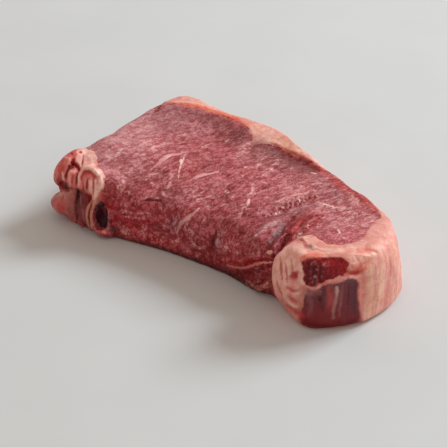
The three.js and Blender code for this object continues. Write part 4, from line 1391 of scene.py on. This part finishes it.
class Board:
    """A short way to lay the nodes of one material."""

    def __init__(self, name: str) -> None:
        """Makes an empty material.

        Args:
            name: The material's name.
        """
        self.material = bpy.data.materials.new(name)
        self.material.use_nodes = True
        self.tree = self.material.node_tree
        self.tree.nodes.clear()

    def add(self, kind: str, settings: dict[str, object] | None = None, **sockets: object
            ) -> bpy.types.Node:
        """Adds a node.

        Args:
            kind: Its type, without the word ShaderNode.
            settings: Its own options.
            **sockets: Values or other nodes' outputs, by socket name with _ for a blank.

        Returns:
            The node.
        """
        node = self.tree.nodes.new("ShaderNode" + kind)
        for key, value in (settings or {}).items():
            setattr(node, key, value)
        for key, value in sockets.items():
            self.put(node, key.replace("_", " "), value)
        return node

    def put(self, node: bpy.types.Node, key: str | int, value: object) -> None:
        """Sets a socket to a value, or links an output to it."""
        socket = node.inputs[key]
        if isinstance(value, bpy.types.NodeSocket):
            self.tree.links.new(value, socket)
        else:
            socket.default_value = value

    def math(self, operation: str, *values: object) -> bpy.types.NodeSocket:
        """A sum, product or other operation on numbers."""
        node = self.add("Math", {"operation": operation})
        for index, value in enumerate(values):
            self.put(node, index, value)
        return node.outputs[0]

    def total(self, *parts: tuple[float, bpy.types.NodeSocket]) -> bpy.types.NodeSocket:
        """A weighted sum of numbers, from pairs of a weight and a number."""
        result = self.math("MULTIPLY", parts[0][1], parts[0][0])
        for weight, value in parts[1:]:
            result = self.math("MULTIPLY_ADD", value, weight, result)
        return result

    def ramp(self, value: object, low: float, high: float, top: float = 1.0) -> bpy.types.NodeSocket:
        """A soft ramp of a number, from 0 at low to top at high."""
        return self.add("MapRange", {"interpolation_type": "SMOOTHSTEP"}, Value=value, From_Min=low,
                        From_Max=high, To_Min=0.0, To_Max=top).outputs[0]

    def blend(self, share: object, first: object, second: object, how: str = "MIX") -> bpy.types.NodeSocket:
        """A mix of two colours."""
        node = self.add("Mix", {"data_type": "RGBA", "blend_type": how})
        for index, value in ((0, share), (6, first), (7, second)):
            self.put(node, index, (*value, 1.0) if isinstance(value, tuple) else value)
        return node.outputs[2]

    def noise(self, place: object, scale: float, detail: float = 2.0, distortion: float = 0.0
              ) -> bpy.types.NodeSocket:
        """Cloudy noise, from 0 to 1."""
        return self.add("TexNoise", None, Vector=place, Scale=scale, Detail=detail,
                        Distortion=distortion).outputs[0]

    def cells(self, place: object, scale: float, feature: str = "F1") -> bpy.types.Node:
        """Cells of random shape, whose outputs are the distance and a colour for each cell."""
        return self.add("TexVoronoi", {"feature": feature}, Vector=place, Scale=scale)

    def attribute(self, name: str, output: str = "Fac") -> bpy.types.NodeSocket:
        """What is stored at each point of the mesh."""
        return self.add("Attribute", {"attribute_name": name}).outputs[output]

    def stretch(self, lengths: Triple, turn: float = 0.0) -> bpy.types.NodeSocket:
        """Object coordinates, turned about Z and divided by the given lengths in millimetres."""
        place = self.add("TexCoord").outputs["Object"]
        turned = self.add("Mapping", None, Vector=place, Rotation=(0.0, 0.0, turn)).outputs[0]
        scale = tuple(1.0 / (MM * length) for length in lengths)
        return self.add("Mapping", None, Vector=turned, Scale=scale).outputs[0]

    def warp(self, place: object, scale: float, amount: float) -> bpy.types.NodeSocket:
        """A place that strays by a slow noise, so that what is drawn with it winds."""
        drift = self.add("TexNoise", None, Vector=place, Scale=scale, Detail=2.0).outputs["Color"]
        moved = self.add("VectorMath", {"operation": "SUBTRACT"})
        self.put(moved, 0, drift)
        moved.inputs[1].default_value = (0.5, 0.5, 0.5)
        result = self.add("VectorMath", {"operation": "MULTIPLY_ADD"})
        self.put(result, 0, moved.outputs[0])
        result.inputs[1].default_value = (amount, amount, amount)
        self.put(result, 2, place)
        return result.outputs[0]


@dataclass(frozen=True)
class RawBeef:
    """The finish of moist raw beef. The mesh says what is flesh, what is fat and what is wet.

    Attributes:
        thread_colour: The linear colour of the finest threads of fat.
        fleck_colour: That of the pale flecks.
        deep_tint: What the dark fibres multiply the flesh by.
        pale_tint: What the pale fibres multiply it by.
        streak_tint: What the dark streaks multiply it by.
        pink_tint: What the pink clouds multiply the fat by.
        cream_tint: What the cream clouds multiply it by.
        tone_middle: The middle of the fibres' tone, about which the contrast spreads.
        tone_reach: How far from there the tone runs down to dark and up to pale.
        grain_turn: How far the grain is turned about Z, in radians.
        dry: The mean roughness of a dry place.
        gloss: How much smoother a wet place is.
        subsurface: How much light goes through the surface.
        bump: The strength of the bump.
    """

    thread_colour: Triple = (0.62, 0.25, 0.235)
    fleck_colour: Triple = (0.68, 0.34, 0.32)
    deep_tint: Triple = (0.66, 0.36, 0.39)
    pale_tint: Triple = (1.24, 1.55, 1.52)
    streak_tint: Triple = (0.56, 0.16, 0.2)
    pink_tint: Triple = (0.9, 0.68, 0.66)
    cream_tint: Triple = (1.08, 1.24, 1.2)
    tone_middle: float = 1.35
    tone_reach: tuple[float, float] = (-0.31, 0.31)
    dry: float = 0.45
    gloss: float = 0.42
    grain_turn: float = math.radians(15)
    subsurface: float = 0.2
    bump: float = 0.6

    def build(self) -> bpy.types.Material:
        """Lays the nodes.

        Returns:
            The material.
        """
        board = Board("raw_beef")
        grain = board.stretch((1.0, 1.7, 1.3), self.grain_turn)
        plain = board.stretch((1.0, 1.0, 1.0))
        ragged = board.math("SUBTRACT", board.noise(plain, 0.9, 3.0), 0.5)
        share = board.ramp(board.math("MULTIPLY_ADD", ragged, 1.3, board.attribute("edge")), -0.16, 0.2)
        lean, lean_height = self._lean(board, grain, plain)
        fat, fat_height = self._fat(board, plain)
        colour = board.blend(share, lean, fat)
        height = board.add("Mix", None, Factor=share, A=lean_height, B=fat_height).outputs[0]
        bump = board.add("Bump", None, Strength=self.bump, Distance=0.6 * MM, Height=height).outputs[0]
        patchy = board.math("MULTIPLY", board.noise(plain, 0.4, 3.0), 0.3)
        rough = board.math("SUBTRACT", board.math("ADD", patchy, self.dry),
                           board.math("MULTIPLY", board.attribute("wet"), self.gloss))
        surface = board.add("BsdfPrincipled", {"subsurface_method": "RANDOM_WALK"}, Base_Color=colour,
                            Roughness=rough, Normal=bump, Subsurface_Weight=self.subsurface,
                            Subsurface_Radius=(1.0, 0.35, 0.25), Subsurface_Scale=1.6 * MM, IOR=1.38,
                            Specular_IOR_Level=0.38, Coat_Weight=0.04, Coat_Roughness=0.16)
        board.add("OutputMaterial", None, Surface=surface.outputs[0])
        return board.material

    def _lean(self, board: Board, grain: object, plain: object) -> tuple[object, object]:
        """The lean's colour and height: bundles of fibre, darker and paler by turns, with fine marbling."""
        flesh = board.attribute("flesh", "Color")
        fibres = board.noise(grain, 0.45, 4.0, 0.4)
        bundles = board.cells(board.warp(grain, 0.3, 1.2), 0.7)
        tint = board.add("SeparateColor", None, Color=bundles.outputs["Color"]).outputs[0]
        specks = board.noise(plain, 1.1, 3.0)
        tone = board.total((1.3, fibres), (0.3, tint), (1.3, specks), (-0.3, bundles.outputs["Distance"]))
        away = board.math("SUBTRACT", tone, self.tone_middle)
        tone = board.ramp(board.math("MULTIPLY", away, board.attribute("contrast")), *self.tone_reach)
        deep = board.blend(1.0, flesh, self.deep_tint, "MULTIPLY")
        pale = board.blend(1.0, flesh, self.pale_tint, "MULTIPLY")
        colour = board.blend(tone, deep, pale)
        streaks = board.noise(board.stretch((1.0, 3.0, 1.6), self.grain_turn), 0.5, 3.0, 0.3)
        dark = board.blend(1.0, flesh, self.streak_tint, "MULTIPLY")
        darker = board.math("MULTIPLY", board.ramp(streaks, 0.56, 0.66, 0.7), board.attribute("contrast"))
        colour = board.blend(darker, colour, dark)
        threads = self._threads(board, grain, plain)
        colour = board.blend(threads, colour, self.thread_colour)
        flecks = board.math("MULTIPLY", board.ramp(board.noise(plain, 1.4, 2.0, 0.4), 0.64, 0.74),
                            board.attribute("threads"))
        colour = board.blend(flecks, colour, self.fleck_colour)
        height = board.total((0.9, fibres), (0.5, specks), (-0.5, bundles.outputs["Distance"]),
                             (0.3, threads))
        return colour, height

    def _fat(self, board: Board, plain: object) -> tuple[object, object]:
        """The fat's colour and height: soft clouds of pink and cream, with faint upright seams."""
        fat = board.attribute("fat", "Color")
        upright = board.stretch((2.4, 2.4, 16.0))
        seams = board.noise(upright, 0.7, 2.0, 0.4)
        clouds = board.noise(plain, 0.28, 4.0)
        grains = board.noise(plain, 1.0, 3.0)
        tone = board.ramp(board.total((0.5, seams), (0.6, clouds), (0.4, grains)), 0.5, 1.0)
        pink = board.blend(1.0, fat, self.pink_tint, "MULTIPLY")
        cream = board.blend(1.0, fat, self.cream_tint, "MULTIPLY")
        height = board.total((0.6, seams), (0.5, grains), (0.4, clouds))
        return board.blend(tone, pink, cream), height

    def _threads(self, board: Board, grain: object, plain: object) -> bpy.types.NodeSocket:
        """Where the finest threads of fat run: the broken borders of winding cells, coarse and fine."""
        density = board.attribute("threads")
        total = None
        for scale, width, gap, strength in ((0.17, 0.055, 0.54, 0.6), (0.36, 0.09, 0.56, 0.4)):
            winding = board.warp(grain, 2.0 * scale, 0.14 / scale)
            border = board.cells(winding, scale, "DISTANCE_TO_EDGE").outputs["Distance"]
            thread = board.math("SUBTRACT", 1.0, board.ramp(border, 0.0, width))
            broken = board.math("MULTIPLY_ADD", density, 0.22, board.noise(plain, 0.25, 3.0))
            here = board.ramp(broken, gap, gap + 0.2, strength)
            laid = board.math("MULTIPLY", here, board.ramp(density, 0.0, 0.1))
            part = board.math("MULTIPLY", thread, laid)
            total = part if total is None else board.math("MAXIMUM", total, part)
        return total


@dataclass(frozen=True)
class Studio:
    """The pale floor, the soft lights and the camera.

    Attributes:
        distance: How far the camera stands from what it aims at, in metres.
        aim: The place on the floor that it aims at, in metres.
        lens: Its focal length on a sensor 36 mm wide, in millimetres.
        floor_colour: The linear colour of the floor.
        sky: The linear colour of the light from all round.
        sky_strength: How strong that light is.
        window_at: Where the soft lamp hangs, in metres.
        window_size: How wide it is, in metres.
        window_power: Its power, in watts.
        window_colour: Its linear colour.
    """

    distance: float = 0.8
    aim: Triple = (-0.016, 0.0, 0.0)
    lens: float = 128.86
    floor_colour: Triple = (0.635, 0.635, 0.633)
    sky: Triple = (1.0, 0.89, 0.8)
    sky_strength: float = 0.54
    window_at: Triple = (0.73, 2.0, 1.49)
    window_size: float = 0.95
    window_power: float = 62.0
    window_colour: Triple = (0.83, 0.94, 1.0)

    def build(self) -> None:
        """Makes the floor, the world, the lamp and the camera."""
        self._floor()
        self._world()
        self._lamp()
        self._camera()
        bpy.context.scene.view_settings.view_transform = "Standard"

    def _floor(self) -> None:
        """Lays a wide matt floor under the steak."""
        bpy.ops.object.select_all(action="DESELECT")
        bpy.ops.mesh.primitive_plane_add(size=12.0, location=(0.0, 0.0, 0.0))
        floor = bpy.context.object
        floor.name = "floor"
        board = Board("floor")
        tint = board.ramp(board.noise(board.stretch((60.0, 60.0, 60.0)), 1.0), 0.3, 0.7)
        light = tuple(1.03 * c for c in self.floor_colour)
        surface = board.add("BsdfPrincipled", None, Base_Color=board.blend(tint, self.floor_colour, light),
                            Roughness=0.75)
        board.add("OutputMaterial", None, Surface=surface.outputs[0])
        floor.data.materials.append(board.material)

    def _world(self) -> None:
        """Lights the scene evenly from all round."""
        world = bpy.data.worlds.new("studio")
        bpy.context.scene.world = world
        world.use_nodes = True
        background = world.node_tree.nodes["Background"]
        background.inputs["Color"].default_value = (*self.sky, 1.0)
        background.inputs["Strength"].default_value = self.sky_strength

    def _lamp(self) -> None:
        """Hangs a square lamp behind the steak that faces it."""
        bpy.ops.object.light_add(type="AREA", location=self.window_at)
        lamp = bpy.context.object
        lamp.name = "window"
        lamp.data.size = self.window_size
        lamp.data.energy = self.window_power
        lamp.data.color = self.window_colour
        lamp.rotation_euler = (-Vector(self.window_at)).to_track_quat("-Z", "Y").to_euler()

    def _camera(self) -> None:
        """Places the camera."""
        back = Vector(Side.SLANT.value[2])
        bpy.ops.object.camera_add(location=Vector(self.aim) + self.distance * back)
        camera = bpy.context.object
        camera.rotation_euler = (-back).to_track_quat("-Z", "Y").to_euler()
        camera.data.sensor_width = 36.0
        camera.data.lens = self.lens
        camera.data.clip_start, camera.data.clip_end = 0.01, 50.0
        bpy.context.scene.camera = camera


def main() -> None:
    """Builds the steak and the studio."""
    logging.basicConfig(level=logging.INFO, format="%(message)s")
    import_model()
    steak = Steak().build("steak")
    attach(steak, "root")
    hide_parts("steak")
    log.info("%s: %d triangles", steak.name, len(steak.data.polygons))
    Studio().build()


if __name__ == "__main__":
    main()
